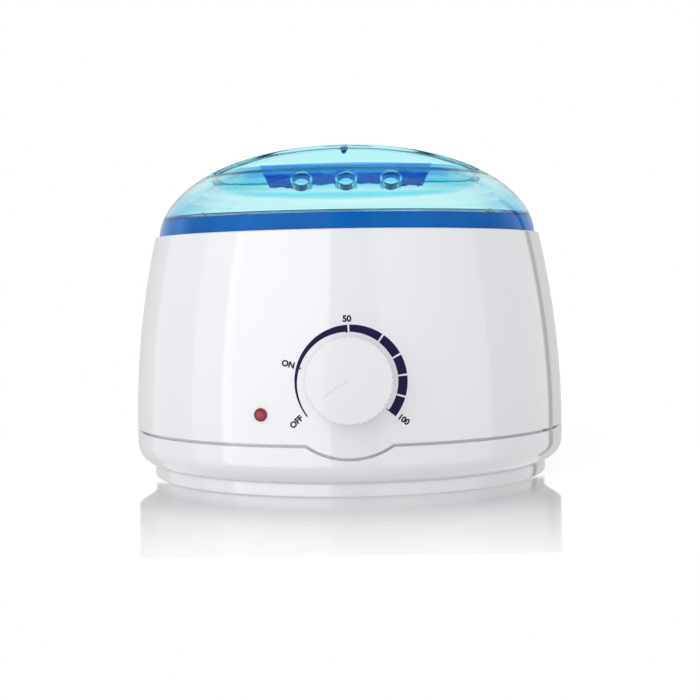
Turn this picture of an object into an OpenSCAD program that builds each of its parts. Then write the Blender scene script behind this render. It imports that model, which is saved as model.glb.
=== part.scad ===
// Wax warmer: a round white body with a lift-out pot, a clear domed lid and a thermostat dial.
// The origin is on the table under the body's axis. +Z is up and the dial faces -Y.

/* [Body] */
// Widest radius of the body, at the seam and below it
body_r = 90.5; // [82:0.5:100]
// How far the rim lies inside the widest radius
rim_in = 9; // [7:0.5:10]
// Height of the rim above the table
body_h = 100; // [97:1:110]
// Wall of the upper housing
wall = 2.5; // [2:0.1:3]
// Height of the seam between the housing and the base shell
seam_z = 20; // [18:0.5:22]
// Open groove that shows at the seam
seam_gap = 1; // [0.6:0.1:1.4]
// Rounding between the base shell's side and its floor
shoulder_r = 8.5; // [7:0.5:9.5]
// Height of the crease above the foot
foot_h = 5.5; // [5:0.5:6.5]
// How far the foot lies inside the widest radius
foot_in = 7.1; // [6.5:0.1:7.5]
// Height of the locating lip inside the seam
lip_h = 4; // [3:0.5:5]
// Thickness of the locating lip
lip_t = 2; // [1.6:0.1:2.4]
// Thickness of the ring that carries the well, the pot and the lid
ledge_t = 4; // [3.5:0.5:5]
// Depth of the recess that the lid sits in
recess_h = 3; // [2:0.5:4]
// Thickness of the rim outside the lid
rim_t = 1.3; // [1:0.1:1.8]
// Number of vent slots in the base floor
vent_count = 12; // [8:1:16]
// Width of a vent slot
vent_w = 3; // [2:0.5:4]

/* [Foot ring] */
// Width of the rubber ring under the body
ring_w = 3.7; // [3:0.1:4.5]
// How far the rubber ring stands out of its groove
ring_proud = 0.5; // [0.3:0.1:1]

/* [Lid] */
// Height of the dome over its skirt
lid_rise = 40; // [36:1:44]
// Height of the straight edge of the skirt
lid_edge = 2; // [1:0.5:3]
// Wall of the lid
lid_t = 2; // [1.6:0.1:2.4]
// Height of the thick band round the skirt, above the recess floor
band_h = 10; // [8:0.5:12]
// Distance from the lid's edge in to the crest round the two finger scoops
crest_in = 21.9; // [19:0.1:26]
// Height from the recess floor to the floor of the scoops
scoop_z = 23.5; // [22:0.5:25]
// Width of the sloping side between a scoop's floor and the crest
scoop_side = 5; // [4:0.5:7]
// Half width of the grip bar where it meets the scoop floor
bar_foot = 19; // [17:0.5:21]
// Half width of the grip bar at the top of the dome
bar_top = 4; // [3.5:0.5:6]
// Radius of a steam vent
steam_r = 3.5; // [2.5:0.25:4]
// Number of steam vents in the grip bar
steam_count = 3; // [1:2:3]
// Distance between steam vents
steam_pitch = 18.75; // [16:0.25:21]
// Height of the steam vents over the scoop floor
steam_up = 3.8; // [3.6:0.1:5]

/* [Pot and well] */
// Room between the pot's mouth and the widest radius of the body
side_room = 30.5; // [28:0.5:33]
// How far the pot narrows from its mouth to its floor
pot_taper = 2; // [1:0.5:4]
// Height of the pot's floor above the table
pot_floor = 38; // [35:1:42]
// Wall of the pot
pot_t = 1; // [0.8:0.1:1.2]
// Width of the pot's flange
flange_w = 8; // [7:0.5:9]
// Radius of the curl round the flange
curl_r = 1.6; // [1.2:0.1:1.8]
// Gap between the pot and the well
well_gap = 1; // [0.8:0.1:1.4]
// Wall of the heating well
well_t = 1.5; // [1.2:0.1:1.8]
// Gap between the pot's floor and the well's
floor_gap = 0.6; // [0.4:0.1:1]
// Width of the well's fixing flange
well_flange = 6.5; // [6.25:0.25:7]
// Thickness of the silicone gasket
gasket_t = 1; // [0.8:0.1:1.4]

/* [Bail] */
// Diameter of the bail wire
bail_d = 3; // [2.5:0.1:3.2]
// Bend radius at the ends of the bail
bail_bend = 3; // [2.5:0.5:4]
// Thickness of an ear plate
ear_t = 1.5; // [1.2:0.1:1.6]
// Width of an ear plate
ear_w = 14; // [12:0.5:16]
// Height of an ear above the flange
ear_h = 10; // [8:0.5:11]

/* [Heater] */
// Thickness of the band heater
heater_t = 2.5; // [2:0.1:2.8]
// Width of the band heater
heater_w = 30; // [24:1:32]
// Thickness of the insulating wrap
wrap_t = 3; // [2:0.25:3.25]
// Width of the gap where the band heater is clamped
heater_slot = 8; // [6:0.5:10]
// Radius of the thermal fuse
fuse_r = 2; // [1.8:0.1:2.2]
// Length of the thermal fuse
fuse_l = 12; // [10:0.5:14]

/* [Dial and lamp] */
// Height of the dial's centre on the wall
dial_z = 44; // [42:0.5:47]
// Radius of the round apron that dips below the seam
apron_r = 28.5; // [27.5:0.25:31]
// Radius of the knob
knob_r = 16; // [15:0.25:17]
// Length of the knob
knob_h = 14; // [12.5:0.5:15]
// Number of grip flutes round the knob
flute_count = 48; // [36:2:56]
// Radius of a flute
flute_r = 0.6; // [0.4:0.05:0.7]
// Radius of the thermostat's shaft
shaft_r = 3; // [2.6:0.1:3.2]
// Radius of the threaded bush round the shaft
bush_r = 4.5; // [4.3:0.1:4.8]
// Radius of the thermostat's body
stat_r = 13.5; // [12:0.5:14]
// Depth of the thermostat's body
stat_h = 12; // [10:0.5:13]
// Angle round the body from the dial to the lamp
lamp_angle = 21.3; // [20:0.5:24]
// Height of the lamp on the wall
lamp_z = 31.5; // [29:0.5:33]
// Radius of the lamp's red lens
lens_r = 2.4; // [2:0.1:2.8]

/* [Cord gland] */
// Height of the gland on the back wall
gland_z = 33; // [32:0.5:36]
// Bore of the gland
gland_bore = 3.5; // [3:0.1:4]
// Radius of the hole in the wall
gland_hole = 5; // [4.6:0.1:5.4]

/* [Fasteners] */
// Radius of a screw's shank
screw_r = 1.5; // [1.3:0.05:1.6]
// Radius of a screw's head
head_r = 2.8; // [2.6:0.1:3]
// Radius of a screw post
post_r = 3.5; // [3.2:0.1:3.7]
// Height of the joint between the posts
post_z = 24; // [23:0.5:27]

/* [Fits] */
// Gap between the lid and the rim
lid_gap = 0.3; // [0.2:0.05:0.5]
// Gap round the lip inside the seam
lip_gap = 0.2; // [0.1:0.05:0.3]
// Running clearance round the shaft and the bail's ends
run_gap = 0.06; // [0.02:0.01:0.1]
// Gap round bushes and pressed pieces
seat_gap = 0.1; // [0.05:0.05:0.15]
// Gap round a screw that passes through a piece
pass_gap = 0.2; // [0.1:0.05:0.3]
// Gap round a screw in the piece that it bites into
bite_gap = 0.05; // [0.02:0.01:0.1]
// Gap between the folded bail and the curl of the pot
bail_gap = 0.3; // [0.2:0.05:0.5]

/* [Hidden] */

$fn = 96;
eps = 0.01;
over = 1;
big = 300;

// The side of the body is one arc that stands upright at the seam and passes through the rim.
rim_r = body_r - rim_in;
foot_r = body_r - foot_in;
side_h = body_h - seam_z;
side_arc = (side_h * side_h + rim_in * rim_in) / (2 * rim_in);
function side_r(z) = body_r - side_arc + sqrt(pow(side_arc, 2) - pow(max(z - seam_z, 0), 2));
function side_tilt(z) = asin(max(z - seam_z, 0) / side_arc);

shoulder_z = foot_h + shoulder_r;
lip_r = body_r - wall - lip_gap;
base_in = lip_r - lip_t;
floor_z = foot_h;
floor_t = wall;
floor_top = floor_z + floor_t;
ledge_z = body_h - recess_h;
ledge_low = ledge_z - ledge_t;
recess_r = rim_r - rim_t;
mouth_chamfer = 0.4;
ring_mid = foot_r - wall - ring_w / 2;
ring_top = floor_z - 0.5;

lid_r = recess_r - lid_gap;
crest_r = lid_r - crest_in;
scoop_r = crest_r - scoop_side;
dome_z = ledge_z + lid_edge;
dome_steps = 30;
crest_z = dome_z + lid_rise * sqrt(1 - pow(crest_r / lid_r, 2));
scoop_floor = ledge_z + scoop_z;
dome_top = dome_z + lid_rise;
bar_rise = dome_top - scoop_floor;
bar_run = bar_foot - bar_top;
bar_slope = atan2(bar_rise, bar_run);
// Sideways shift of the bar's slanting wall for one wall thickness, measured level.
bar_shift = lid_t / sin(bar_slope);
gate_r = 1.2;
gate_x = -3;
gate_h = 1.2;

pot_r = body_r - side_room;
pot_foot_r = pot_r - pot_taper;
well_r = pot_r + well_gap;
well_out = well_r + well_t;
mouth_r = well_out + seat_gap;
flange_top = ledge_low - gasket_t;
flange_r = well_out + well_flange;
well_floor = pot_floor - floor_gap;
well_rim = ledge_z - 0.5;
well_bottom = well_floor - well_t;
post_gap = 0.6;
base_post_r = post_r + 1;
post_ring = flange_r + post_r + post_gap;
pilot_r = screw_r + bite_gap;
pass_r = screw_r + pass_gap;
sink_r = head_r + 0.3;
post_bite = 20;
slot_l = 18;
slot_out = post_ring - post_r - 7.6;
fix_count = 4;
post_angle = 45;
well_screw_r = (well_out + flange_r) / 2;

pot_lip_r = pot_r + flange_w;
pot_top = ledge_z + pot_t;
curl_up = 0.15;
curl_z = ledge_z + curl_up + curl_r;
bail_r = bail_d / 2;
bail_z = curl_z + curl_r + bail_r + bail_gap;
ear_in = 0.8;
ear_x = pot_r + ear_in;
ear_tab = sqrt(pow(pot_lip_r - curl_r - pass_gap, 2) - pow(ear_w / 2, 2)) - ear_x;
rivet_r = 1.1;
rivet_head_r = 1.6;
rivet_head_h = 0.8;
rivet_y = ear_w / 2 - rivet_head_r - 1;
rivet_x = ear_x + (ear_t + ear_tab) / 2;
button_r = bail_r + 0.9;
button_t = 0.9;

heater_in = well_out + seat_gap;
heater_out = heater_in + heater_t;
heater_up = 5;
heater_z = well_bottom + heater_up;
wrap_in = heater_out + seat_gap;
wrap_out = wrap_in + wrap_t;
wrap_over = 3;
lug_t = 1.5;
lug_l = 10;
lug_w = 12;
lug_x = heater_slot / 2;
lug_hole_r = screw_r + seat_gap;
lug_out = lug_x + lug_t / 2;
nut_corner = 2 * screw_r;
wrap_open = lug_x + lug_t + 4;
heater_mid = heater_z + heater_w / 2;
lug_y = heater_out + lug_l / 2;

boss_h = 5;
boss_r = 3.6;
boss_z = well_bottom - boss_h;
strap_t = 0.8;
strap_w = 8;
fuse_side = 2.2;
fuse_x = -(boss_r + fuse_r + fuse_side);
fuse_z = well_bottom - fuse_r - pass_gap;
fuse_wire_r = 0.6 * fuse_r;
fuse_tail = 2;

pad_h = 1.5;
pad_r = stat_r + 1;
stat_face = -wall - pad_h - seat_gap;
stat_back = stat_face - stat_h;
bush_out = 3.5;
spot_r = bush_r + 4.5;
spot_h = 0.6;
nut_flat = bush_r + 2;
nut_h = 2.4;
knob_back = 0.8;
knob_face = knob_back + knob_h;
knob_wall = 2;
knob_dome = 1.2;
hub_r = shaft_r + 2.6;
hub_z = 4.2;
shaft_in = stat_face - 5.8;
shaft_top = knob_face - knob_wall - knob_dome - 0.3;
shaft_flat = shaft_r - 1;
clip_t = 0.4;
clip_w = 3;
clip_up = 0.5;
clip_open = 2;
clip_r = hub_r + run_gap;
pointer_angle = 212;
pointer_in = 0.5;
pointer_out = 10;
pointer_w = 0.7;
pointer_t = 1;
tab_w = 6.3;
tab_t = 0.8;
tab_l = 8;
tab_in = 3;
tab_x = tab_w / 2 + 1.5;
tab_z = stat_back + 3;

holder_r = lens_r + 1.2;
lamp_boss_r = holder_r + 1.6;
lamp_boss_l = 5;
holder_out = 1;
lamp_r = 1.5;
lamp_l = 9;
lamp_front = -0.6;
lens_skin = 0.2;
lens_back = -wall - 1.3;
lens_edge = 0.6;

gland_len_out = 2;
gland_len_in = 1.5;
gland_in_gap = 0.35;
gland_rim = 6.5;
gland_step = 0.5;

seat_z = floor_z + 6;
head_h = 2;
slot_t = 0.8;

block_l = 30;
block_w = 16;
block_h = 12;
block_x = 0;
block_y = 30;
block_pitch = 10;
block_z = floor_top + 2;
block_bore = 1.7;
block_hole = 1.5;
block_sink = 1;
block_head_r = 1.9;
block_head_h = 1.2;

lead_r = 1;
lead_sides = 8;
lead_steps = 5;
end_gap = 0.15;
lead_angle = 18;
lead_side = 0.8;
thin_r = 0.5;
thin_side = 0.8;
lay_z = floor_top + lead_r + 0.4;

// Outer radius of the lid's dome at a height, and its wall set in by t.
function dome_point(a, t) = [(lid_r - t) * cos(a), dome_z + (lid_rise - t) * sin(a)];

// Places its children on the wall, angle a round from the dial. Their +Z points out of the wall.
module on_wall(a, z) {
    rotate([0, 0, a]) translate([0, -side_r(z), z]) rotate([90 - side_tilt(z), 0, 0]) children();
}

// Repeats its children n times round the axis.
module around(n, first = 0) {
    for (i = [0:n - 1]) rotate([0, 0, first + i * 360 / n]) children();
}

// Half section of the body's outside, set in by t, between two heights above the seam's foot.
module side_section(t, low, high) {
    intersection() {
        union() {
            translate([body_r - side_arc, seam_z]) circle(r = side_arc - t, $fn = 360);
            square([body_r - t, seam_z + eps]);
        }
        translate([0, low]) square([body_r + 1, high - low]);
    }
}

// Tube from low to high.
module tube(outer, inner, low, high) {
    translate([0, 0, low]) difference() {
        cylinder(r = outer, h = high - low);
        translate([0, 0, -over]) cylinder(r = inner, h = high - low + 2 * over);
    }
}

// Round bar along +Z from low to high.
module rod(r, low, high) {
    translate([0, 0, low]) cylinder(r = r, h = high - low);
}

// Screw with its head down at z = 0 and its shank up.
module screw(shank) {
    difference() {
        union() {
            rod(head_r, -head_h, 0);
            rod(screw_r, -eps, shank);
        }
        translate([-head_r, -slot_t / 2, -head_h - over]) cube([2 * head_r, slot_t, over + slot_t]);
    }
}

// Points of a smooth curve through hand-chosen points.
function curve_point(a, b, c, d, t) =
    0.5 * ((2 * b) + (c - a) * t + (2 * a - 5 * b + 4 * c - d) * t * t
    + (3 * b - a - 3 * c + d) * t * t * t);
function curve(p) = [
    for (i = [0:len(p) - 2], s = [0:lead_steps - 1])
        curve_point(p[max(i - 1, 0)], p[i], p[i + 1], p[min(i + 2, len(p) - 1)], s / lead_steps),
    p[len(p) - 1]
];
function unit(v) = v / norm(v);
// Direction square to a heading, carried on from the last ring so that the tube doesn't twist.
function squared(v, h) = unit(v - (v * h) * h);
function ring_sides(h, i, v) =
    i == len(h) ? [] : let (s = squared(v, h[i])) concat([s], ring_sides(h, i + 1, s));

// Insulated lead that follows a route. Its ends are square to the route's first and last stretch.
module lead(route, r = lead_r) {
    p = curve(route);
    last = len(p) - 1;
    end = len(route) - 1;
    heading = [
        for (i = [0:last])
            i == 0 ? unit(route[1] - route[0])
            : i == last ? unit(route[end] - route[end - 1])
            : unit(p[i + 1] - p[i - 1])
    ];
    s = ring_sides(heading, 0, abs(heading[0].z) > 0.9 ? [1, 0, 0] : [0, 0, 1]);
    n = lead_sides;
    rings = [
        for (i = [0:last], k = [0:n - 1])
            p[i] + r * (cos(360 * k / n) * s[i] + sin(360 * k / n) * cross(heading[i], s[i]))
    ];
    faces = concat(
        [[for (k = [0:n - 1]) k]],
        [[for (k = [0:n - 1]) last * n + n - 1 - k]],
        [for (i = [0:last - 1], k = [0:n - 1]) [i * n + k, (i + 1) * n + k, (i + 1) * n + (k + 1) % n]],
        [for (i = [0:last - 1], k = [0:n - 1]) [i * n + k, (i + 1) * n + (k + 1) % n, i * n + (k + 1) % n]]
    );
    polyhedron(points = rings, faces = faces);
}

// Space of both finger scoops. t sets its sides out and its floor down by a wall.
module scoops(t) {
    level = scoop_floor - t;
    difference() {
        rotate_extrude() polygon([
            [0, level], [scoop_r + t, level], [crest_r + t, crest_z], [crest_r + t, dome_top + 5],
            [0, dome_top + 5]
        ]);
        shift = t > 0 ? bar_shift : 0;
        down = t / tan(bar_slope);
        rotate([90, 0, 90]) translate([0, 0, -big / 2]) linear_extrude(big) polygon([
            [-bar_foot + shift - down, level - eps], [bar_foot - shift + down, level - eps],
            [bar_top - shift, dome_top], [bar_top - shift, dome_top + 6],
            [-bar_top + shift, dome_top + 6], [-bar_top + shift, dome_top]
        ]);
    }
}

// Clear blue dome with a grip bar between two finger scoops and a thick band round its skirt.
module lid() {
    band_z = ledge_z + band_h;
    band_a = asin((band_z - dome_z) / (lid_rise - lid_t));
    band_in = dome_point(band_a, lid_t).x;
    out_step = 90 / dome_steps;
    in_step = (90 - band_a) / dome_steps;
    steam_y = bar_foot - steam_up / tan(bar_slope);
    color("deepskyblue", 0.5) {
        difference() {
            rotate_extrude() polygon(concat(
                [[0, ledge_z], [lid_r, ledge_z]],
                [for (i = [0:dome_steps]) dome_point(i * out_step, 0)]
            ));
            scoops(0);
            difference() {
                rotate_extrude() polygon(concat(
                    [[0, ledge_z - 1], [band_in, ledge_z - 1]],
                    [for (i = [0:dome_steps]) dome_point(band_a + i * in_step, lid_t)]
                ));
                scoops(lid_t);
            }
            for (i = [0:steam_count - 1])
                translate([(i - (steam_count - 1) / 2) * steam_pitch, -steam_y, scoop_floor + steam_up])
                    rotate([bar_slope, 0, 0]) rod(steam_r, -3 * lid_t, 2 * lid_t);
        }
        translate([gate_x, 0, 0]) rod(gate_r, dome_top - lid_t - gate_h, dome_top - lid_t / 2);
    }
}

// Glossy upper housing as moulded, with its rim, dial pad and lamp boss.
module housing_shell() {
    low = seam_z + seam_gap / 2;
    boss_back = -wall - lamp_boss_l;
    difference() {
        union() {
            difference() {
                union() {
                    rotate_extrude() side_section(0, low, body_h);
                    // Round apron under the dial.
                    intersection() {
                        rotate_extrude() side_section(0, shoulder_z, low + eps);
                        translate([0, 0, dial_z]) rotate([90, 0, 0]) cylinder(r = apron_r, h = big);
                    }
                }
                rotate_extrude() side_section(wall, shoulder_z - over, ledge_z + eps);
                rod(recess_r, ledge_z, body_h + over);
            }
            intersection() {
                rotate_extrude() side_section(wall / 2, low, ledge_low);
                union() {
                    on_wall(0, dial_z) rod(pad_r, -wall - pad_h, 0);
                    on_wall(-lamp_angle, lamp_z) rod(lamp_boss_r, boss_back, 0);
                }
            }
        }
        on_wall(0, dial_z) {
            rod(bush_r + seat_gap, stat_face - over, wall);
            rod(spot_r, -spot_h, wall);
        }
        on_wall(-lamp_angle, lamp_z) {
            rod(lens_r + seat_gap, boss_back, wall);
            rod(holder_r + seat_gap, boss_back - wall, -wall - seat_gap);
        }
        on_wall(180, gland_z) rod(gland_hole, -3 * wall, wall);
        translate([0, 0, body_h - mouth_chamfer])
            cylinder(r1 = recess_r, r2 = recess_r + 2 * mouth_chamfer, h = 2 * mouth_chamfer);
    }
}

// Front half of the housing. The two halves meet face to face, left and right of the middle.
module housing_front() {
    color("white") intersection() {
        housing_shell();
        translate([-big, -big, 0]) cube([2 * big, big, big]);
    }
}

// Back half of the housing, round the gland.
module housing_back() {
    color("white") intersection() {
        housing_shell();
        translate([-big, 0, 0]) cube([2 * big, big, big]);
    }
}

// Ring welded inside the top of the housing. It carries the well, the pot and the lid, and its
// posts take the base screws.
module deck_ring() {
    pilot_h = ledge_t - 1;
    color("white") difference() {
        union() {
            rotate_extrude() side_section(wall + seat_gap, ledge_low, ledge_z);
            around(fix_count, post_angle) translate([post_ring, 0, 0])
                rod(post_r, post_z, ledge_low + eps);
        }
        rod(mouth_r, ledge_low - over, ledge_z + over);
        around(fix_count, post_angle) translate([post_ring, 0, 0])
            rod(pilot_r, post_z - over, post_z + post_bite);
        around(fix_count) translate([well_screw_r, 0, 0]) rod(pilot_r, ledge_low - over, ledge_low + pilot_h);
    }
}

// Half section of the base shell and its foot.
module base_section() {
    groove_in = ring_mid - ring_w / 2;
    difference() {
        union() {
            translate([0, shoulder_z]) square([body_r, seam_z - seam_gap / 2 - shoulder_z]);
            translate([body_r - shoulder_r, shoulder_z]) circle(r = shoulder_r);
            translate([0, floor_z]) square([body_r - shoulder_r, shoulder_r + eps]);
            translate([0, shoulder_z]) square([lip_r, seam_z + lip_h - shoulder_z]);
            polygon([
                [0, ring_proud], [foot_r, ring_proud], [foot_r, foot_h - 1],
                [foot_r - 0.4, foot_h - 0.3], [foot_r - 1.4, foot_h + 0.4], [0, foot_h + 0.4]
            ]);
        }
        // Room inside, with a round corner that runs beside the outer shoulder.
        translate([0, shoulder_z]) square([base_in, big]);
        translate([base_in - shoulder_r + wall, shoulder_z]) circle(r = shoulder_r - wall);
        translate([0, floor_top]) square([base_in - shoulder_r + wall, shoulder_r]);
        // Hollow under the floor and the groove for the rubber ring.
        square([groove_in - wall, floor_z]);
        translate([groove_in - seat_gap, 0]) square([ring_w + 2 * seat_gap, ring_top]);
    }
}

// Base shell: the lower wall, the floor with its vents, the foot and the lower screw posts.
module base_shell() {
    color("white") difference() {
        union() {
            difference() {
                rotate_extrude() base_section();
                // Clearance round the housing's apron, down to the locating lip.
                difference() {
                    translate([0, 0, dial_z]) rotate([90, 0, 0])
                        cylinder(r = apron_r + seam_gap, h = big);
                    rod(lip_r, -over, big);
                }
            }
            around(fix_count, post_angle) translate([post_ring, 0, 0]) rod(base_post_r, floor_z, post_z);
            for (s = [-1, 1]) translate([block_x + s * block_pitch / 2, block_y, 0])
                rod(post_r, floor_z, block_z);
        }
        around(fix_count, post_angle) translate([post_ring, 0, 0]) {
            rod(pass_r, floor_z - over, post_z + over);
            rod(sink_r, -over, seat_z);
        }
        for (s = [-1, 1]) translate([block_x + s * block_pitch / 2, block_y, 0])
            rod(pilot_r, floor_z + 1, block_z + over);
        around(vent_count, 180 / vent_count) translate([slot_out - slot_l, -vent_w / 2, floor_z - over])
            cube([slot_l, vent_w, floor_t + 2 * over]);
    }
}

// Rubber ring that the warmer stands on.
module foot_ring() {
    color("dimgray") tube(ring_mid + ring_w / 2, ring_mid - ring_w / 2, 0, ring_top - seat_gap);
}

// Screws that hold the base shell to the housing.
module base_screws() {
    grip = 14;
    color("silver") around(fix_count, post_angle) translate([post_ring, 0, seat_z])
        screw(post_z - seat_z + grip);
}

// Aluminium well that the pot stands in, with its flange and fuse boss.
module heating_well() {
    color("silver") difference() {
        union() {
            rod(well_out, well_bottom, well_rim);
            rod(flange_r, flange_top - well_t, flange_top);
            rod(boss_r, boss_z, well_bottom + eps);
        }
        rod(well_r, well_floor, ledge_z);
        around(fix_count) translate([well_screw_r, 0, 0])
            rod(pass_r, flange_top - well_t - over, flange_top + over);
        rod(pilot_r, boss_z - over, well_bottom - 0.5);
    }
}

// Silicone gasket between the well's flange and the ledge.
module well_gasket() {
    color("firebrick") difference() {
        tube(flange_r - 0.5, well_out + seat_gap, flange_top, ledge_low);
        around(fix_count) translate([well_screw_r, 0, 0]) rod(pass_r, flange_top - over, ledge_low + over);
    }
}

// Screws that hold the well under the ledge.
module well_screws() {
    shank = well_t + gasket_t + ledge_t - 1.4;
    color("gold") around(fix_count) translate([well_screw_r, 0, flange_top - well_t]) screw(shank);
}

// Band heater round the well, with two lugs that a screw pulls together at the back.
module heater_band() {
    color("goldenrod") difference() {
        union() {
            tube(heater_out, heater_in, heater_z, heater_z + heater_w);
            for (s = [0, 1]) mirror([s, 0, 0])
                translate([lug_x - lug_t / 2, heater_in + seat_gap, heater_mid - lug_w / 2])
                    cube([lug_t, heater_t - seat_gap + lug_l, lug_w]);
        }
        translate([-lug_x + lug_t / 2, heater_in / 2, heater_z - over])
            cube([2 * lug_x - lug_t, heater_out, heater_w + 2 * over]);
        translate([0, lug_y, heater_mid]) rotate([0, 90, 0]) rod(lug_hole_r, -big / 4, big / 4);
    }
}

// Screw across the heater's lugs.
module heater_clamp_screw() {
    tail = 6;
    color("silver") translate([-lug_out, lug_y, heater_mid]) rotate([0, 90, 0]) screw(2 * lug_out + tail);
}

// Hex nut on the heater's clamp screw.
module heater_clamp_nut() {
    nut_t = 1.5 * screw_r;
    color("silver") translate([lug_out, lug_y, heater_mid]) rotate([0, 90, 0]) difference() {
        cylinder(r = nut_corner, h = nut_t, $fn = 6);
        rod(pilot_r, -over, nut_t + over);
    }
}

// Glass-fibre wrap that keeps the heat in, open where the lugs stand out.
module insulation_wrap() {
    low = heater_z - wrap_over;
    high = heater_z + heater_w + wrap_over;
    color("wheat") difference() {
        tube(wrap_out, wrap_in, low, high);
        translate([-wrap_open, 0, low - over]) cube([2 * wrap_open, wrap_out + over, high - low + 2 * over]);
    }
}

// Thermal fuse under the well.
module thermal_fuse() {
    color("lightgray") translate([fuse_x, 0, fuse_z]) rotate([90, 0, 0]) {
        rod(fuse_r, -fuse_l / 2, fuse_l / 2);
        rod(fuse_wire_r, -fuse_l / 2 - fuse_tail, fuse_l / 2 + fuse_tail);
    }
}

// Spring strap that holds the fuse against the well.
module fuse_strap() {
    cradle = fuse_r + seat_gap;
    out = -fuse_x;
    color("slategray") mirror([1, 0, 0]) difference() {
        union() {
            translate([-boss_r, -strap_w / 2, boss_z - strap_t])
                cube([boss_r + out + cradle + strap_t, strap_w, strap_t]);
            translate([out + cradle, -strap_w / 2, boss_z - strap_t])
                cube([strap_t, strap_w, fuse_z + fuse_r - boss_z + strap_t]);
            translate([out - cradle - strap_t, -strap_w / 2, boss_z - eps])
                cube([2 * cradle + strap_t, strap_w, fuse_z - boss_z]);
        }
        translate([out, 0, fuse_z]) rotate([90, 0, 0]) rod(cradle, -strap_w, strap_w);
        rod(pass_r, boss_z - strap_t - over, boss_z + over);
    }
}

// Screw that holds the strap to the boss.
module fuse_screw() {
    color("gold") translate([0, 0, boss_z - strap_t]) screw(strap_t + boss_h - 1);
}

// Thermostat: a ceramic body behind the wall and a threaded bush through it.
module thermostat_body() {
    color("ivory") on_wall(0, dial_z) difference() {
        union() {
            rod(stat_r, stat_back, stat_face);
            rod(bush_r, stat_face - eps, bush_out);
        }
        rod(shaft_r + run_gap, shaft_in - seat_gap, bush_out + over);
        for (s = [-1, 1]) translate([s * tab_x - tab_w / 2, -stat_r - over, tab_z])
            cube([tab_w, tab_in + over, tab_t]);
    }
}

// Push-on tabs under the thermostat.
module thermostat_terminals() {
    color("gold") on_wall(0, dial_z) for (s = [-1, 1])
        translate([s * tab_x - tab_w / 2 + seat_gap, -stat_r - tab_l + tab_in, tab_z + seat_gap])
            cube([tab_w - 2 * seat_gap, tab_l, tab_t - 2 * seat_gap]);
}

// Hex nut on the bush, hidden by the knob.
module thermostat_nut() {
    color("silver") on_wall(0, dial_z) translate([0, 0, -spot_h]) difference() {
        cylinder(r = nut_flat / cos(30), h = nut_h, $fn = 6);
        rod(bush_r + bite_gap, -over, nut_h + over);
    }
}

// Shaft with a flat for the knob.
module thermostat_shaft() {
    color("silver") on_wall(0, dial_z) difference() {
        rod(shaft_r, shaft_in, shaft_top);
        translate([-shaft_r, shaft_flat, hub_z]) cube([2 * shaft_r, shaft_r, big]);
    }
}

// Knob with grip flutes, a slightly domed face and an engraved pointer.
module knob() {
    dome_r = (knob_r * knob_r + knob_dome * knob_dome) / (2 * knob_dome);
    hollow_r = knob_r - knob_wall;
    roof = knob_face - knob_dome - knob_wall;
    color("white") on_wall(0, dial_z) difference() {
        intersection() {
            rod(knob_r, knob_back, knob_face);
            translate([0, 0, knob_face - dome_r]) sphere(r = dome_r, $fn = 200);
        }
        difference() {
            rod(hollow_r, knob_back - over, roof);
            rod(hub_r, hub_z, roof + over);
        }
        difference() {
            rod(shaft_r + bite_gap, hub_z - over, shaft_top + pass_gap);
            translate([-shaft_r, shaft_flat + bite_gap, hub_z - 2 * over]) cube([2 * shaft_r, shaft_r, big]);
        }
        for (i = [0:flute_count - 1]) rotate([0, 0, i * 360 / flute_count])
            translate([knob_r + flute_r / 2, 0, 0]) rod(flute_r, knob_back - over, knob_face - 2 * knob_dome);
        rotate([0, 0, pointer_angle]) translate([pointer_in, -pointer_w / 2, knob_face - pointer_t])
            cube([pointer_out - pointer_in, pointer_w, pointer_t + over]);
    }
}

// Spring clip round the knob's hub.
module knob_clip() {
    color("slategray") on_wall(0, dial_z) difference() {
        tube(clip_r + clip_t, clip_r, hub_z + clip_up, hub_z + clip_up + clip_w);
        translate([0, -clip_open / 2, hub_z]) cube([2 * clip_r, clip_open, 2 * clip_w]);
    }
}

// Red lens of the indicator lamp.
module indicator_lens() {
    color("red") on_wall(-lamp_angle, lamp_z) difference() {
        union() {
            rod(lens_r, lens_back, lens_edge);
            intersection() {
                translate([0, 0, lens_edge]) sphere(r = lens_r);
                rod(lens_r, lens_edge - seat_gap, lens_edge + 0.7 * lens_r);
            }
            rod(holder_r, lens_back, -wall - 2 * seat_gap);
        }
        rod(lamp_r + seat_gap, lens_back - over, lamp_front + lens_skin);
    }
}

// Neon lamp behind the lens.
module neon_lamp() {
    color("orange") on_wall(-lamp_angle, lamp_z) rod(lamp_r, lamp_front - lamp_l, lamp_front);
}

// Plastic plug that holds the lamp in its boss.
module lamp_holder() {
    color("gray") on_wall(-lamp_angle, lamp_z)
        tube(holder_r, lamp_r + seat_gap, -wall - lamp_boss_l - holder_out, lens_back - seat_gap);
}

// Terminal block on its two posts.
module terminal_block() {
    color("ivory") translate([block_x, block_y, block_z]) difference() {
        translate([-block_l / 2, -block_w / 2, 0]) cube([block_l, block_w, block_h]);
        for (i = [-1:1]) translate([i * block_pitch, 0, block_h / 2]) {
            rotate([90, 0, 0]) rod(block_bore, -block_w, block_w);
            for (s = [-1, 1]) translate([0, s * block_w / 4, 0]) rod(block_hole, 0, block_h);
        }
        for (s = [-1, 1]) translate([s * block_pitch / 2, 0, 0]) rod(pass_r, -over, block_h + over);
    }
}

// Clamping screws in the terminal block.
module terminal_screws() {
    color("gold") translate([block_x, block_y, block_z]) for (i = [-1:1], s = [-1, 1])
        translate([i * block_pitch, s * block_w / 4, 0])
            rod(block_hole - bite_gap, block_h / 2 + block_bore + seat_gap, block_h - block_sink);
}

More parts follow.
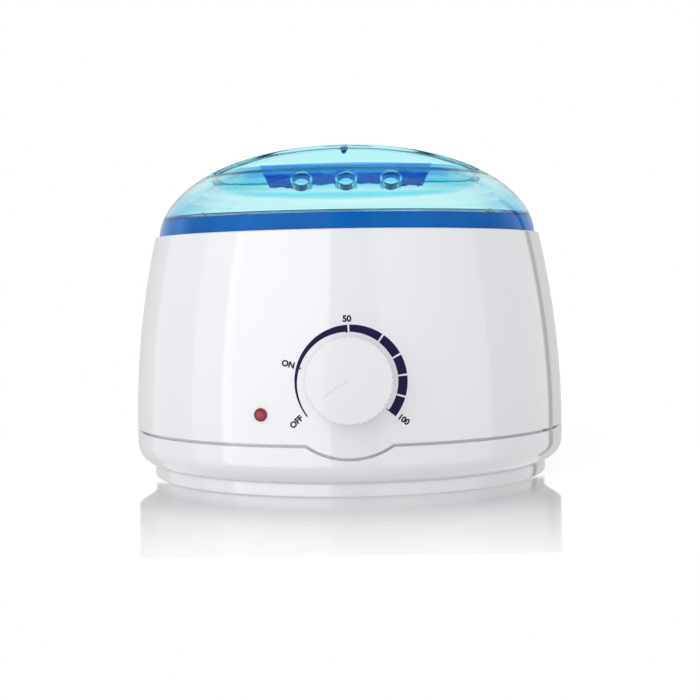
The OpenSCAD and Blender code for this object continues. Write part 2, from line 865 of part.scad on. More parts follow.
// Screws that hold the terminal block down.
module block_screws() {
    top = block_z + block_h;
    color("silver") for (s = [-1, 1]) translate([block_x + s * block_pitch / 2, block_y, top])
        rotate([180, 0, 0]) difference() {
            union() {
                rod(block_head_r, -block_head_h, 0);
                rod(screw_r, -eps, block_h + 2);
            }
            translate([-block_head_r, -slot_t / 2, -block_head_h - over])
                cube([2 * block_head_r, slot_t, over + block_head_h / 2]);
        }
}

// Rubber gland in the back wall, with the bore that the mains cord passes through.
module cord_gland() {
    start = -wall - gland_in_gap - gland_len_in;
    color("dimgray") on_wall(180, gland_z) difference() {
        union() {
            rod(gland_hole - seat_gap, start, gland_len_out);
            rod(gland_rim, seat_gap, gland_len_out);
            rod(gland_rim - gland_step, start, start + gland_len_in);
        }
        rod(gland_bore, start - over, gland_len_out + over);
    }
}

// Mouth of a bore of the terminal block. Column i counts from -1, and s picks the side.
function bore_at(i, s) =
    [block_x + i * block_pitch, block_y + s * (block_w / 2 + end_gap), block_z + block_h / 2];
// A place given in the dial's own frame, in the shared frame.
function dial_at(x, y, z) = let (t = side_tilt(dial_z)) [
    x, -side_r(dial_z) + y * sin(t) - z * cos(t), dial_z + y * cos(t) + z * sin(t)
];
// Foot of thermostat tab s.
function tab_at(s) =
    dial_at(s * tab_x, -stat_r - tab_l + tab_in - end_gap, tab_z + tab_t / 2);
// Direction from the lamp's lens into the body.
function lamp_in() = let (t = side_tilt(lamp_z))
    [sin(lamp_angle) * cos(t), cos(lamp_angle) * cos(t), -sin(t)];
// Place behind the neon lamp, x to the side of its axis.
function lamp_at(x) =
    [-side_r(lamp_z) * sin(lamp_angle), -side_r(lamp_z) * cos(lamp_angle), lamp_z]
    + (lamp_l - lamp_front + end_gap) * lamp_in() + x * [cos(lamp_angle), -sin(lamp_angle), 0];
// Lower edge of the band heater, angle a from its clamp.
function heater_at(a) = let (r = (heater_in + heater_out) / 2)
    [r * sin(a), r * cos(a), heater_z - end_gap];

// Lead from the terminal block to the thermostat.
module supply_lead() {
    a = bore_at(1, -1);
    b = tab_at(1);
    color("saddlebrown") lead([
        a, a + [0, -4, 0], [a.x + 4, a.y - 14, lay_z + 2], [a.x + 12, a.y - 36, lay_z],
        [b.x + 13, b.y + 31, lay_z], b + [3, 8, -11], b + [0, 0, -4], b
    ]);
}

// Leads from the heater: one back to the terminal block and one to the fuse.
module heater_leads() {
    low = well_bottom - 5;
    a = heater_at(-lead_angle);
    b = bore_at(-1, -1) + [lead_side, 0, 0];
    c = heater_at(lead_angle);
    d = [fuse_x, fuse_l / 2 + fuse_tail + end_gap, fuse_z];
    color("white") {
        lead([
            a, a + [0, 0, -5], [a.x - 2, a.y - 4, low], [a.x - 6, block_y + 14, block_z + 10],
            [a.x - 4, block_y - 8, block_z + 8], [b.x - 4, b.y - 10, b.z], b + [0, -4, 0], b
        ]);
        lead([
            c, c + [0, 0, -5], [c.x - 1, c.y - 5, low], [c.x - 6, block_y + 8, low],
            [d.x + 8, d.y + 10, low - 1], d + [0, 4, 0], d
        ]);
    }
}

// Lead from the fuse to the thermostat.
module fuse_lead() {
    a = [fuse_x, -fuse_l / 2 - fuse_tail - end_gap, fuse_z];
    b = tab_at(-1);
    color("dimgray") lead([
        a, a + [0, -5, 0], a + [0, -20, -5], [b.x - 1, b.y + 22, lay_z + 8],
        b + [0, 6, -10], b + [0, 0, -4], b
    ]);
}

// Thin leads from the neon lamp: one to the thermostat and one to the terminal block.
module lamp_leads() {
    a = lamp_at(thin_side);
    b = tab_at(-1) + [-2, 0, 0];
    c = lamp_at(-thin_side);
    d = bore_at(-1, -1) - [lead_side + thin_r, 0, 0];
    in = 6 * lamp_in();
    color("crimson") {
        lead([
            a, a + in, a + 2 * in + [3, 0, -2], [b.x - 6, b.y + 6, b.z - 8], b + [0, 0, -4], b
        ], thin_r);
        lead([
            c, c + in, c + 2 * in + [-2, 0, -3], [c.x - 3, c.y + 29, lay_z + 4],
            [d.x - 20, d.y - 42, lay_z], [d.x - 8, d.y - 16, lay_z + 1], d + [0, -5, -1], d
        ], thin_r);
    }
}

// Aluminium pot with a flange and a curled edge.
module inner_pot() {
    color("silver") rotate_extrude() difference() {
        union() {
            polygon([[0, pot_floor], [pot_foot_r, pot_floor], [pot_r, pot_top], [0, pot_top]]);
            translate([0, ledge_z]) square([pot_lip_r, pot_t]);
            translate([pot_lip_r, curl_z]) circle(r = curl_r, $fn = 32);
        }
        polygon([
            [0, pot_floor + pot_t], [pot_foot_r - pot_t, pot_floor + pot_t],
            [pot_r - pot_t, pot_top + over], [0, pot_top + over]
        ]);
    }
}

// Ears riveted to the flange, with the holes that the bail turns in.
module pot_ears() {
    color("lightgray") for (s = [0, 1]) mirror([s, 0, 0]) difference() {
        union() {
            intersection() {
                translate([ear_x, -ear_w / 2, pot_top]) cube([ear_t, ear_w, ear_h]);
                translate([ear_x, 0, pot_top + ear_h - ear_w / 2]) rotate([0, 90, 0]) union() {
                    cylinder(r = ear_w / 2, h = ear_t);
                    translate([0, -ear_w / 2, 0]) cube([ear_w, ear_w, ear_t]);
                }
            }
            translate([ear_x, -ear_w / 2, pot_top]) cube([ear_tab, ear_w, ear_t]);
        }
        translate([0, 0, bail_z]) rotate([0, 90, 0]) rod(bail_r + run_gap, 0, big);
        for (y = [-rivet_y, rivet_y]) translate([rivet_x, y, 0])
            rod(rivet_r + bite_gap, pot_top - over, pot_top + ear_t + over);
    }
}

// Rivets through the ears' tabs.
module ear_rivets() {
    top = pot_top + ear_t;
    color("silver") for (s = [0, 1], y = [-rivet_y, rivet_y]) mirror([s, 0, 0])
        translate([rivet_x, y, 0]) {
            rod(rivet_r, pot_top, top + eps);
            rod(rivet_head_r, top, top + rivet_head_h);
        }
}

// Wire bail, folded down behind the pot's mouth. It turns in the ears about the X axis.
module bail() {
    bend_x = pot_lip_r - bail_bend;
    button_x = ear_x - bail_gap;
    color("silver") translate([0, 0, bail_z]) {
        translate([0, bail_bend, 0]) rotate_extrude(angle = 180)
            translate([pot_lip_r, 0]) circle(r = bail_r, $fn = 32);
        for (s = [0, 1]) mirror([s, 0, 0]) {
            translate([bend_x, bail_bend, 0]) rotate([0, 0, -90]) rotate_extrude(angle = 90)
                translate([bail_bend, 0]) circle(r = bail_r, $fn = 32);
            rotate([0, 90, 0]) rod(bail_r, button_x - button_t / 2, bend_x);
            rotate([0, 90, 0]) rod(button_r, button_x - button_t, button_x);
        }
    }
}

lid();
housing_front();
housing_back();
deck_ring();
base_shell();
foot_ring();
base_screws();
heating_well();
well_gasket();
well_screws();
heater_band();
heater_clamp_screw();
heater_clamp_nut();
insulation_wrap();
thermal_fuse();
fuse_strap();
fuse_screw();
thermostat_body();
thermostat_terminals();
thermostat_nut();
thermostat_shaft();
knob();
knob_clip();
indicator_lens();
neon_lamp();
lamp_holder();
terminal_block();
terminal_screws();
block_screws();
cord_gland();
supply_lead();
heater_leads();
fuse_lead();
lamp_leads();
inner_pot();
pot_ears();
ear_rivets();
bail();
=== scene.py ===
"""Looks of a wax warmer: a white body, a clear blue lid, a dial and a lift-out pot.

Everything is in metres, in the part's own frame: +Z up, the dial facing -Y.
"""

from math import acos, asin, cos, hypot, pi, radians, sin, sqrt, tan

import bmesh
import bpy
import numpy as np
from bpy.props import FloatProperty, FloatVectorProperty, IntProperty, PointerProperty
from mathutils import Matrix, Vector


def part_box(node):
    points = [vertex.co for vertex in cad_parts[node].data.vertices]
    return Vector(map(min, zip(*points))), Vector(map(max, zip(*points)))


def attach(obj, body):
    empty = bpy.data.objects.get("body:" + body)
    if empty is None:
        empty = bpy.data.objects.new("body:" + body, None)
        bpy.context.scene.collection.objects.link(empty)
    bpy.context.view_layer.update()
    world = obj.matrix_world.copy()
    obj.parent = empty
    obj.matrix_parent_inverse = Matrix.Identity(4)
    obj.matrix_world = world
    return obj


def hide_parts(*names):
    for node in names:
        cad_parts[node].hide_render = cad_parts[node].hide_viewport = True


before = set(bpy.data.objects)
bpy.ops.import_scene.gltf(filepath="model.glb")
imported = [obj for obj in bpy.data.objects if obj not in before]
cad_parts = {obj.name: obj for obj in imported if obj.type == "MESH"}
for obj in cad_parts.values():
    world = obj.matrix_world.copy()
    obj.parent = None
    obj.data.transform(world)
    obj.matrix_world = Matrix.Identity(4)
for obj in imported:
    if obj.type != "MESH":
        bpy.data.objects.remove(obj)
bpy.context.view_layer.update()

bl_info = {
    "name": "Wax warmer",
    "version": (1, 0, 0),
    "blender": (4, 5, 0),
    "location": "3D View > Sidebar > Wax warmer",
    "description": "Dresses the packed wax warmer and sets its studio",
    "category": "Object",
}

MM = 0.001
TINY = 0.001 * MM
WHITE = (1, 1, 1, 1)


def mm(*values):
    """Millimetres as a tuple of metres."""
    return tuple(v * MM for v in values)


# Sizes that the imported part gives.
BODY_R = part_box("base_shell")[1].x
BODY_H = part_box("housing_front")[1].z
LID_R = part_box("lid")[1].x
LID_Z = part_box("lid")[0].z
LID_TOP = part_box("lid")[1].z
RING_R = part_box("foot_ring")[1].x
RING_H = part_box("foot_ring")[1].z
POT_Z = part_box("inner_pot")[0].z

# Body.
SEAM_Z, SEAM_HALF, RIM_IN, WALL, RECESS_R = mm(20, 0.5, 9, 2.5, 80.2)
SHOULDER_R, SHOULDER_Z = mm(8.5, 14)
FOOT_R, FOOT_Z, FOOT_LOW, FLOOR_TOP = mm(83.4, 5.5, 0.2, 8)
LIP_R, LIP_IN, LIP_TOP = mm(87.8, 85.8, 24)
APRON_R, APRON_GAP = mm(28.5, 1)
SIDE_ARC = ((BODY_H - SEAM_Z) ** 2 + RIM_IN**2) / (2 * RIM_IN)

# Dial, lamp and gland. Angles on the dial are in degrees from the right.
DIAL_Z, GLAND_Z = mm(44, 33)
PRINT_R, PRINT_X, PRINT_UP, INK_LOW, INK_TOP = mm(20.8, 0.75, -0.3, -0.1, 0.05)
SCALE_START, SCALE_END = 218, -39
SCALE_BREAKS = [92, 54.6, 28.2, 6, -16.8]
LAMP_ANGLE = radians(-21.3)
LAMP_Z = 31.5 * MM

# Lid.
LID_EDGE, LID_T, BAND_IN = mm(2, 2, 76.15)
DOME_Z = LID_Z + LID_EDGE
DOME_H = LID_TOP - DOME_Z
BAND_TOP = LID_Z + 9.1 * MM
SCOOP_R, SCOOP_FLOOR, BAR_FOOT = mm(53, 120.5, 19)
SCOOP_RISE = 1.2
BAR_SLOPE = radians(50.96)
VENT_R, VENT_Z, VENT_PITCH, VENT_COLLAR = mm(3.5, 124.3, 18.75, 2)
VENT_Y = (VENT_Z - SCOOP_FLOOR) / tan(BAR_SLOPE) - BAR_FOOT
NUB_X = 0.8 * MM

# Pot and bail.
POT_R, POT_FOOT_R, POT_T, POT_RIM_Z = mm(60, 58, 1, 98)
CURL_R, CURL_Z, CURL_MID = mm(1.6, 98.75, 68)
EAR_X, BAIL_Z, BAIL_R = mm(60.8, 102.15, 1.5)


def shift(x, y, z):
    """Matrix that moves by x, y and z."""
    return Matrix.Translation((x, y, z))


def spin(angle, axis="Z"):
    """Matrix that turns by an angle round an axis."""
    return Matrix.Rotation(angle, 4, axis)


def side_r(z):
    """Outer radius of the body at a height."""
    return BODY_R - SIDE_ARC + sqrt(SIDE_ARC**2 - max(z - SEAM_Z, 0) ** 2)


def side_tilt(z):
    """Lean of the wall at a height."""
    return asin(max(z - SEAM_Z, 0) / SIDE_ARC)


def on_wall(angle, z):
    """Frame on the wall, an angle round from the dial, whose +Z points out."""
    lean = spin(pi / 2 - side_tilt(z), "X")
    return spin(angle) @ shift(0, -side_r(z), z) @ lean


class Signal:
    """A node's output socket. Its operators add Math nodes."""

    def __init__(self, tree, socket):
        self.tree = tree
        self.socket = socket

    def math(self, operation, *others):
        values = dict(enumerate((self, *others)))
        return self.tree.add("ShaderNodeMath", values, {"operation": operation})

    def __add__(self, other):
        return self.math("ADD", other)

    __radd__ = __add__

    def __sub__(self, other):
        return self.math("SUBTRACT", other)

    def __rsub__(self, other):
        values = {0: other, 1: self}
        return self.tree.add("ShaderNodeMath", values, {"operation": "SUBTRACT"})

    def __mul__(self, other):
        return self.math("MULTIPLY", other)

    __rmul__ = __mul__

    def __abs__(self):
        return self.math("ABSOLUTE")

    def capped(self):
        """No more than 1."""
        return self.math("MINIMUM", 1.0)

    def step(self, low, high):
        """0 below low, 1 above high, smooth between them."""
        sockets = {"Value": self, "From Min": low, "From Max": high}
        smooth_step = {"interpolation_type": "SMOOTHSTEP"}
        return self.tree.add("ShaderNodeMapRange", sockets, smooth_step)

    def until(self, low, high):
        """1 below low, 0 above high, smooth between them."""
        return 1 - self.step(low, high)


def length(a, b):
    return (a * a + b * b).math("SQRT")


def rgba(colour):
    """A colour with its alpha. A signal stays as it is."""
    return colour if isinstance(colour, Signal) else (*colour[:3], 1)


def tint(colour, share):
    """A colour made lighter or darker by a share."""
    return tuple(min(c * share, 1) for c in colour[:3])


class Finish:
    """The node tree of a material or a world."""

    def __init__(self, owner):
        owner.use_nodes = True
        self.owner = owner
        self.nodes = owner.node_tree.nodes
        self.links = owner.node_tree.links
        self.nodes.clear()

    def add(self, kind, sockets=None, settings=None, out=0):
        """Adds a node with its settings, and then its sockets' values or links."""
        node = self.nodes.new(kind)
        for name, value in (settings or {}).items():
            setattr(node, name, value)
        for key, value in (sockets or {}).items():
            if isinstance(value, Signal):
                self.links.new(value.socket, node.inputs[key])
            else:
                node.inputs[key].default_value = value
        return Signal(self, node.outputs[out]) if node.outputs else None

    def place(self):
        """The point's place in the object, as x, y and z."""
        where = self.add("ShaderNodeTexCoord", out="Object")
        parts = self.add("ShaderNodeSeparateXYZ", {0: where})
        return [Signal(self, out) for out in parts.socket.node.outputs]

    def vector(self, *parts):
        return self.add("ShaderNodeCombineXYZ", dict(enumerate(parts)))

    def noise(self, scale, detail=2.0, where=None):
        """Noise from 0 to 1, with about scale features to the metre."""
        where = where or self.add("ShaderNodeTexCoord", out="Object")
        sockets = {"Vector": where, "Scale": scale, "Detail": detail}
        return self.add("ShaderNodeTexNoise", sockets)

    def blend(self, factor, a, b):
        """Colour between a and b."""
        settings = {"data_type": "RGBA", "clamp_factor": True}
        sockets = {0: factor, 6: rgba(a), 7: rgba(b)}
        return self.add("ShaderNodeMix", sockets, settings, out=2)

    def bump(self, height, depth):
        """Normal of a surface whose height of 0 to 1 stands for a depth in metres."""
        return self.add("ShaderNodeBump", {"Height": height, "Distance": depth})

    def principled(self, **sockets):
        """The main shader, with its sockets named by Python's rules."""
        sockets = {k.replace("_", " "): v for k, v in sockets.items()}
        return self.add("ShaderNodeBsdfPrincipled", sockets)

    def mix(self, factor, a, b):
        """Shader between a and b."""
        return self.add("ShaderNodeMixShader", {0: factor, 1: a, 2: b})

    def glow(self, level):
        """Even white light of a level."""
        return self.add("ShaderNodeEmission", {"Color": WHITE, "Strength": level})

    def output(self, surface, kind="Material", **more):
        self.add("ShaderNodeOutput" + kind, {"Surface": surface, **more})
        return self.owner

    def finished(self, **sockets):
        """Ends the tree with the main shader, and gives its material."""
        return self.output(self.principled(**sockets))


def new_finish(name):
    return Finish(bpy.data.materials.new(name))


def gloss_plastic(name, colour, roughness, coat, peel):
    """Moulded gloss plastic with the faint waviness of a polished tool."""
    f = new_finish(name)
    return f.finished(
        Base_Color=f.blend(f.noise(24, 3), tint(colour, 0.985), colour),
        Roughness=roughness + 0.04 * f.noise(900),
        IOR=1.5,
        Coat_Weight=coat,
        Coat_Roughness=0.03,
        Normal=f.bump(f.noise(260), peel),
    )


def spun_metal(name, colour, roughness, pitch):
    """Metal turned on a lathe: fine rings round the Z axis."""
    f = new_finish(name)
    x, y, z = f.place()
    rings = f.noise(1 / pitch, 3, f.vector(length(x, y), 0.6 * z))
    cloud = f.noise(60, 4)
    return f.finished(
        Base_Color=f.blend(cloud, tint(colour, 0.9), colour),
        Metallic=1.0,
        Roughness=roughness + 0.16 * rings + 0.08 * cloud,
        Normal=f.bump(rings, 0.02 * MM),
    )


def plated_metal(name, colour, roughness):
    """Plated or plain rolled metal with faint streaks and handling marks."""
    f = new_finish(name)
    x, y, z = f.place()
    streak = f.noise(200, 3, f.vector(x, 14 * y, z))
    return f.finished(
        Base_Color=f.blend(f.noise(300, 4), tint(colour, 0.82), colour),
        Metallic=1.0,
        Roughness=roughness + 0.14 * streak,
        Normal=f.bump(streak, 0.01 * MM),
    )


def matt_material(name, colour, roughness, scale, depth=0.02 * MM, spread=0.75):
    """Rubber, ceramic, fibre or insulation: a grain of a given scale and depth."""
    f = new_finish(name)
    grain = f.noise(scale, 4)
    return f.finished(
        Base_Color=f.blend(f.noise(scale / 12, 3), tint(colour, spread), colour),
        Roughness=roughness + 0.15 * grain,
        Normal=f.bump(grain, depth),
    )


def lens_plastic(look):
    """Red lamp plastic with painted light and shade: lighter where it is seen straight
    on, darker at its edge.
    """
    f = new_finish("red lamp plastic")
    edge = f.add("ShaderNodeLayerWeight", {"Blend": 0.42}, out=1)
    colour = f.blend(edge.step(0.02, 0.5), look.lens, look.lens_edge_shade)
    return f.finished(
        Base_Color=f.blend(f.noise(700) * 0.3, colour, look.lens_edge_shade),
        Roughness=0.22,
        IOR=1.35,
    )


def ink_material(look):
    """Matt dark ink, a little uneven."""
    f = new_finish("dial ink")
    cloud = f.noise(1500, 3)
    return f.finished(
        Base_Color=f.blend(cloud, look.ink, tint(look.ink, 1.6)),
        Roughness=0.4 + 0.1 * cloud,
        IOR=1.22,
    )


def glass_material(name, colour):
    """Thin clear glass."""
    f = new_finish(name)
    return f.finished(
        Base_Color=f.blend(f.noise(500), colour, tint(colour, 1.1)),
        Roughness=0.03,
        IOR=1.5,
        Transmission_Weight=0.9,
    )


# In the lid's zones below, each named pair is where one edge of a zone starts and ends.
def bar_wall_shade_zone(f, x, y, z):
    """Where painted shade lies on the grip bar's front wall, down to a ragged edge that
    is higher in the middle.
    """
    front, back, ends = mm(-19.6, -19.3), mm(-11.7, -11.2), mm(31.5, 32.2)
    middle, low_edge = mm(15, 20), mm(-0.15, 0.25)
    lift, ragged_by, slant = 1.2 * MM, 2.6 * MM, 0.47
    side = abs(x)
    ragged = f.noise(230, 2, f.vector(x, 0.3 * z))
    low = SCOOP_FLOOR + lift * side.until(*middle) + ragged_by * (ragged - 0.5)
    reach = side - slant * (z - SCOOP_FLOOR)
    wall = y.step(*front) * y.until(*back) * reach.until(*ends)
    return wall * (z - low).step(*low_edge)


def vent_shade_zones(x, y, z):
    """Painted shade inside the vents, and the same with a clear ring round each, left
    unpainted so that it shows as a light rim.
    """
    near, hole, ring = mm(4.8, 5), mm(3.6, 3.75), mm(4.6, 4.8)
    side = abs(x)
    from_vent = abs(side - VENT_PITCH).math("MINIMUM", side)
    dy, dz = y - VENT_Y, z - VENT_Z
    rise, run = sin(BAR_SLOPE), cos(BAR_SLOPE)
    close = abs(run * dz - rise * dy).until(*near)
    off = length(from_vent, rise * dz + run * dy)
    return close * off.until(*hole), close * off.until(*ring)


def nub_shade_zone(x, y, z):
    """Painted shade on the nub inside the top of the lid."""
    edge, low = mm(1.7, 1.9), mm(135, 135.5)
    return length(x + NUB_X, y).until(*edge) * z.step(*low)


def open_zone(y, z, away):
    """The scoops and the bar's back, which are clearer than the dome."""
    bar_foot, behind, low = mm(18.6, 19), mm(8, 11), mm(117, 117.5)
    corner, corner_top = mm(14.4, 14.8), mm(121.6, 122)
    limit, rear_from = mm(61.2, 61.8), mm(0, 10)
    inner_more, outer_more = mm(3.4, 6)
    across = abs(y)
    zone = across.step(*bar_foot) + y.step(*behind)
    zone = zone + across.step(*corner) * z.until(*corner_top)
    # A cone parts the outer face from the inner one. At the back the outer face stays
    # clear further out, so that no light is led down the wall.
    cone_lean, cone_z = 0.75, 169.95 * MM
    outer = (z + cone_lean * away - cone_z).step(*mm(-0.3, 0.3))
    rear = (inner_more + outer_more * outer) * y.step(*rear_from)
    return zone.capped() * (away - rear).until(*limit) * z.step(*low)


def slope_shade_zone(x, y, away):
    """The slope of the front scoop, which carries a painted shade."""
    inner, front, ends = mm(53.5, 54.5), mm(-40, -34), mm(36, 50)
    return away.step(*inner) * y.until(*front) * abs(x).until(*ends)


def clear_lid_plastic(look):
    """Clear blue plastic that deepens with the length of the way through it, with
    painted shade on the grip bar's wall, the vents, the nub, the scoop's slope, the
    dome's sides and the band, and painted light at the band's ends.
    """
    f = new_finish("clear blue plastic")
    x, y, z = f.place()
    side, away = abs(x), length(x, y)
    shared = {
        "Roughness": 0.015 + 0.01 * f.noise(300),
        "IOR": look.ior,
        "Normal": f.bump(f.noise(90), 0.03 * MM),
    }
    # Dome: painted shade, a deeper blue at its sides where the view crosses the walls
    # at a slant, and open at the scoops.
    dome_side, openness = mm(60, 71), 0.95
    hue = f.blend(side.step(*dome_side), look.clear, look.clear_side_shade)
    glassy = f.principled(Base_Color=hue, Transmission_Weight=1.0, **shared)
    # The slope's see-through tint is painted shade, a deeper blue that stands in for
    # the bar's shade seen through it.
    plain, slope_shaded = (
        f.add("ShaderNodeBsdfTransparent", {"Color": rgba(colour)})
        for colour in (WHITE, look.slope)
    )
    opened = f.mix(slope_shade_zone(x, y, away), plain, slope_shaded)
    clear = f.mix(openness * open_zone(y, z, away), glassy, opened)
    # Bar wall, vents and nub: painted shade, a dark blue that stands in for the shade
    # seen through them, with no gloss.
    hole, ring = vent_shade_zones(x, y, z)
    inside = (hole + nub_shade_zone(x, y, z)).capped()
    # The painted shade is deeper low on the wall and lighter near its top, with a
    # mottled edge between.
    mottle = 3 * MM * f.noise(160, 3).step(0.35, 0.65)
    deep = f.blend((z + mottle).step(*mm(127, 130.5)), look.wall, look.wall_top_shade)
    dark = f.principled(
        Base_Color=f.blend(inside, deep, look.vent),
        Specular_IOR_Level=0.0,
        Transmission_Weight=1.0,
        **shared,
    )
    shaded = (bar_wall_shade_zone(f, x, y, z) * (1 - ring) + inside).capped()
    dome = f.mix(shaded, clear, dark)
    # Band: nearly opaque, its dark blue partly the thick plastic's own colour and
    # partly painted shade of the dim inside seen through it, with painted light at its
    # ends and upright streaks.
    ends, streaks, streak_share = mm(58, 82), (0.42, 0.7), 0.45
    streak = f.noise(60, 2, f.vector(x, 0.15 * z)).step(*streaks)
    blue = f.blend(side.step(*ends), look.band, look.band_end_light)
    blue = f.blend(streak * streak_share, blue, tint(look.band, 0.55))
    thick = f.principled(
        Base_Color=blue, Specular_IOR_Level=0.1, Transmission_Weight=0.2, **shared
    )
    band = z.until(BAND_TOP - 0.1 * MM, BAND_TOP + 0.25 * MM)
    depth = {"Color": rgba(look.depth_tint), "Density": look.depth}
    volume = f.add("ShaderNodeVolumeAbsorption", depth)
    return f.output(f.mix(band, dome, thick), Volume=volume)


def rounded(corners, steps=5):
    """Closed outline. A corner is (x, y) or (x, y, radius)."""
    outline = []
    count = len(corners)
    for i, corner in enumerate(corners):
        point = Vector(corner[:2])
        if len(corner) < 3:
            outline.append(point)
            continue
        back = (Vector(corners[i - 1][:2]) - point).normalized()
        ahead = (Vector(corners[(i + 1) % count][:2]) - point).normalized()
        half = back.angle(ahead) / 2
        reach = corner[2] / tan(half)
        centre = point + (back + ahead).normalized() * (corner[2] / sin(half))
        start = point + back * reach - centre
        turn = start.angle_signed(point + ahead * reach - centre)
        for k in range(steps + 1):
            outline.append(centre + Matrix.Rotation(-turn * k / steps, 2) @ start)
    return outline


def arc(centre, radius, first, last, steps):
    """Points of an arc, from the first angle to the last, in degrees."""
    turns = (radians(first + (last - first) * i / steps) for i in range(steps + 1))
    x, y = centre
    return [(x + radius * cos(a), y + radius * sin(a)) for a in turns]


def build(name, points, faces, sharp=35):
    """Mesh object, welded and facing out, smooth but for edges over an angle."""
    mesh = bpy.data.meshes.new(name)
    mesh.from_pydata([tuple(p) for p in points], [], faces)
    work = bmesh.new()
    work.from_mesh(mesh)
    bmesh.ops.remove_doubles(work, verts=work.verts, dist=1e-7)
    bmesh.ops.recalc_face_normals(work, faces=work.faces)
    work.to_mesh(mesh)
    work.free()
    smooth(mesh, sharp)
    return show(name, mesh)


def show(name, data):
    """Object of its own in the scene."""
    obj = bpy.data.objects.new(name, data)
    bpy.context.scene.collection.objects.link(obj)
    return obj


def settled(obj):
    """Mesh of an object as it is with its modifiers or its text."""
    graph = bpy.context.evaluated_depsgraph_get()
    return bpy.data.meshes.new_from_object(obj.evaluated_get(graph))


def smooth(mesh, sharp):
    """Smooths a mesh, but keeps edges over an angle in degrees sharp."""
    mesh.shade_smooth()
    mesh.set_sharp_from_angle(angle=radians(sharp))


def grid_faces(rows, columns, wrap_rows=False):
    """Quads of a grid whose columns close on themselves."""
    faces = []
    for i in range(rows if wrap_rows else rows - 1):
        here, ahead = i * columns, (i + 1) % rows * columns
        for j in range(columns):
            k = (j + 1) % columns
            faces.append((here + j, here + k, ahead + k, ahead + j))
    return faces


def round_front(radius, angle):
    """Point at an angle round from the front, seen from above."""
    return radius * sin(angle), -radius * cos(angle)


def lathe(name, outline, angles, warp=None, place=None, sharp=35):
    """Turns a closed outline of (radius, height) round Z. warp may move its points."""
    points = []
    for r, z in outline:
        for angle in angles:
            rr, zz = warp(r, z, angle) if warp else (r, z)
            points.append(Vector((*round_front(rr, angle), zz)))
    if place:
        points = [place @ p for p in points]
    return build(name, points, grid_faces(len(outline), len(angles), True), sharp)


def even_angles(count):
    return [2 * pi * i / count for i in range(count)]


def front_angles(corner_x):
    """Angles round the body, close together at the dial, with one at each corner."""
    front, fine, coarse, apart = 17, 0.5, 1.5, 0.003
    corner = asin(corner_x / BODY_R)
    first = front + coarse
    spread = [*np.arange(-front, front + 0.1, fine)]
    spread += [*np.arange(first, 360 - first + 0.1, coarse)]
    angles = [radians(a) for a in spread]
    angles = [a for a in angles if min(abs(a - corner), abs(a + corner)) > apart]
    return sorted(angles + [corner, -corner])


def carve(obj, cutters, operation="DIFFERENCE", sharp=35):
    """Cuts an object with others, or joins them to it, and drops them."""
    cutter = merged("cut", cutters)
    change = obj.modifiers.new("carve", "BOOLEAN")
    change.operation, change.solver, change.object = operation, "EXACT", cutter
    mesh = settled(obj)
    obj.modifiers.clear()
    old, obj.data = obj.data, mesh
    mesh.name = obj.name
    bpy.data.meshes.remove(old)
    bpy.data.objects.remove(cutter)
    smooth(mesh, sharp)
    if not mesh.polygons:
        raise RuntimeError(f"{obj.name} came out empty")
    return obj


def merged(name, objects):
    """One object from several that don't overlap."""
    points, faces = [], []
    for obj in objects:
        start = len(points)
        points += [v.co.copy() for v in obj.data.vertices]
        faces += [[start + i for i in p.vertices] for p in obj.data.polygons]
        bpy.data.objects.remove(obj)
    return build(name, points, faces)


def rod(radius, low, high, place, sides=48, flare=0.0):
    """Round bar along its own Z. flare widens both its ends for a chamfered hole."""
    middle = [(radius, low + flare), (radius, high - flare)] if flare else []
    wide = radius + flare
    outline = [(0, low), (wide, low), *middle, (wide, high), (0, high)]
    return lathe("rod", outline, even_angles(sides), place=place)


def skin(name, sections):
    """Solid through a row of closed sections, capped at both ends."""
    sides, end = len(sections[0]), (len(sections) - 1) * len(sections[0])
    caps = [list(range(sides - 1, -1, -1)), list(range(end, end + sides))]
    points = [p for section in sections for p in section]
    return build(name, points, grid_faces(len(sections), sides) + caps)


def slab(name, outline, low, high, sideways=False):
    """Flat outline made thick along Z, or along X if it is sideways."""
    ends = [[(h, *p) if sideways else (*p, h) for p in outline] for h in (low, high)]
    return skin(name, ends)


def dress(mesh, material):
    mesh.materials.clear()
    mesh.materials.append(material)


def finish_piece(obj, material, body, slot, *nodes):
    """Gives a piece its material and body, and hides the CAD nodes that it stands in
    for.
    """
    dress(obj.data, material)
    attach(obj, body)
    if nodes:
        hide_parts(*nodes)
    return obj


def wall_normals(obj):
    """Gives the outer wall its exact normals, so that its reflections run clean."""
    mesh = obj.data
    normals = [tuple(c.vector) for c in mesh.corner_normals]
    for face in mesh.polygons:
        for i in face.loop_indices:
            p = mesh.vertices[mesh.loops[i].vertex_index].co
            r = hypot(p.x, p.y)
            if abs(r - side_r(p.z)) > 0.02 * MM:
                continue
            tilt = side_tilt(p.z)
            out = cos(tilt) / r
            exact = Vector((p.x * out, p.y * out, sin(tilt)))
            if exact.dot(face.normal) > 0.9:
                normals[i] = tuple(exact)
    mesh.normals_split_custom_set(normals)


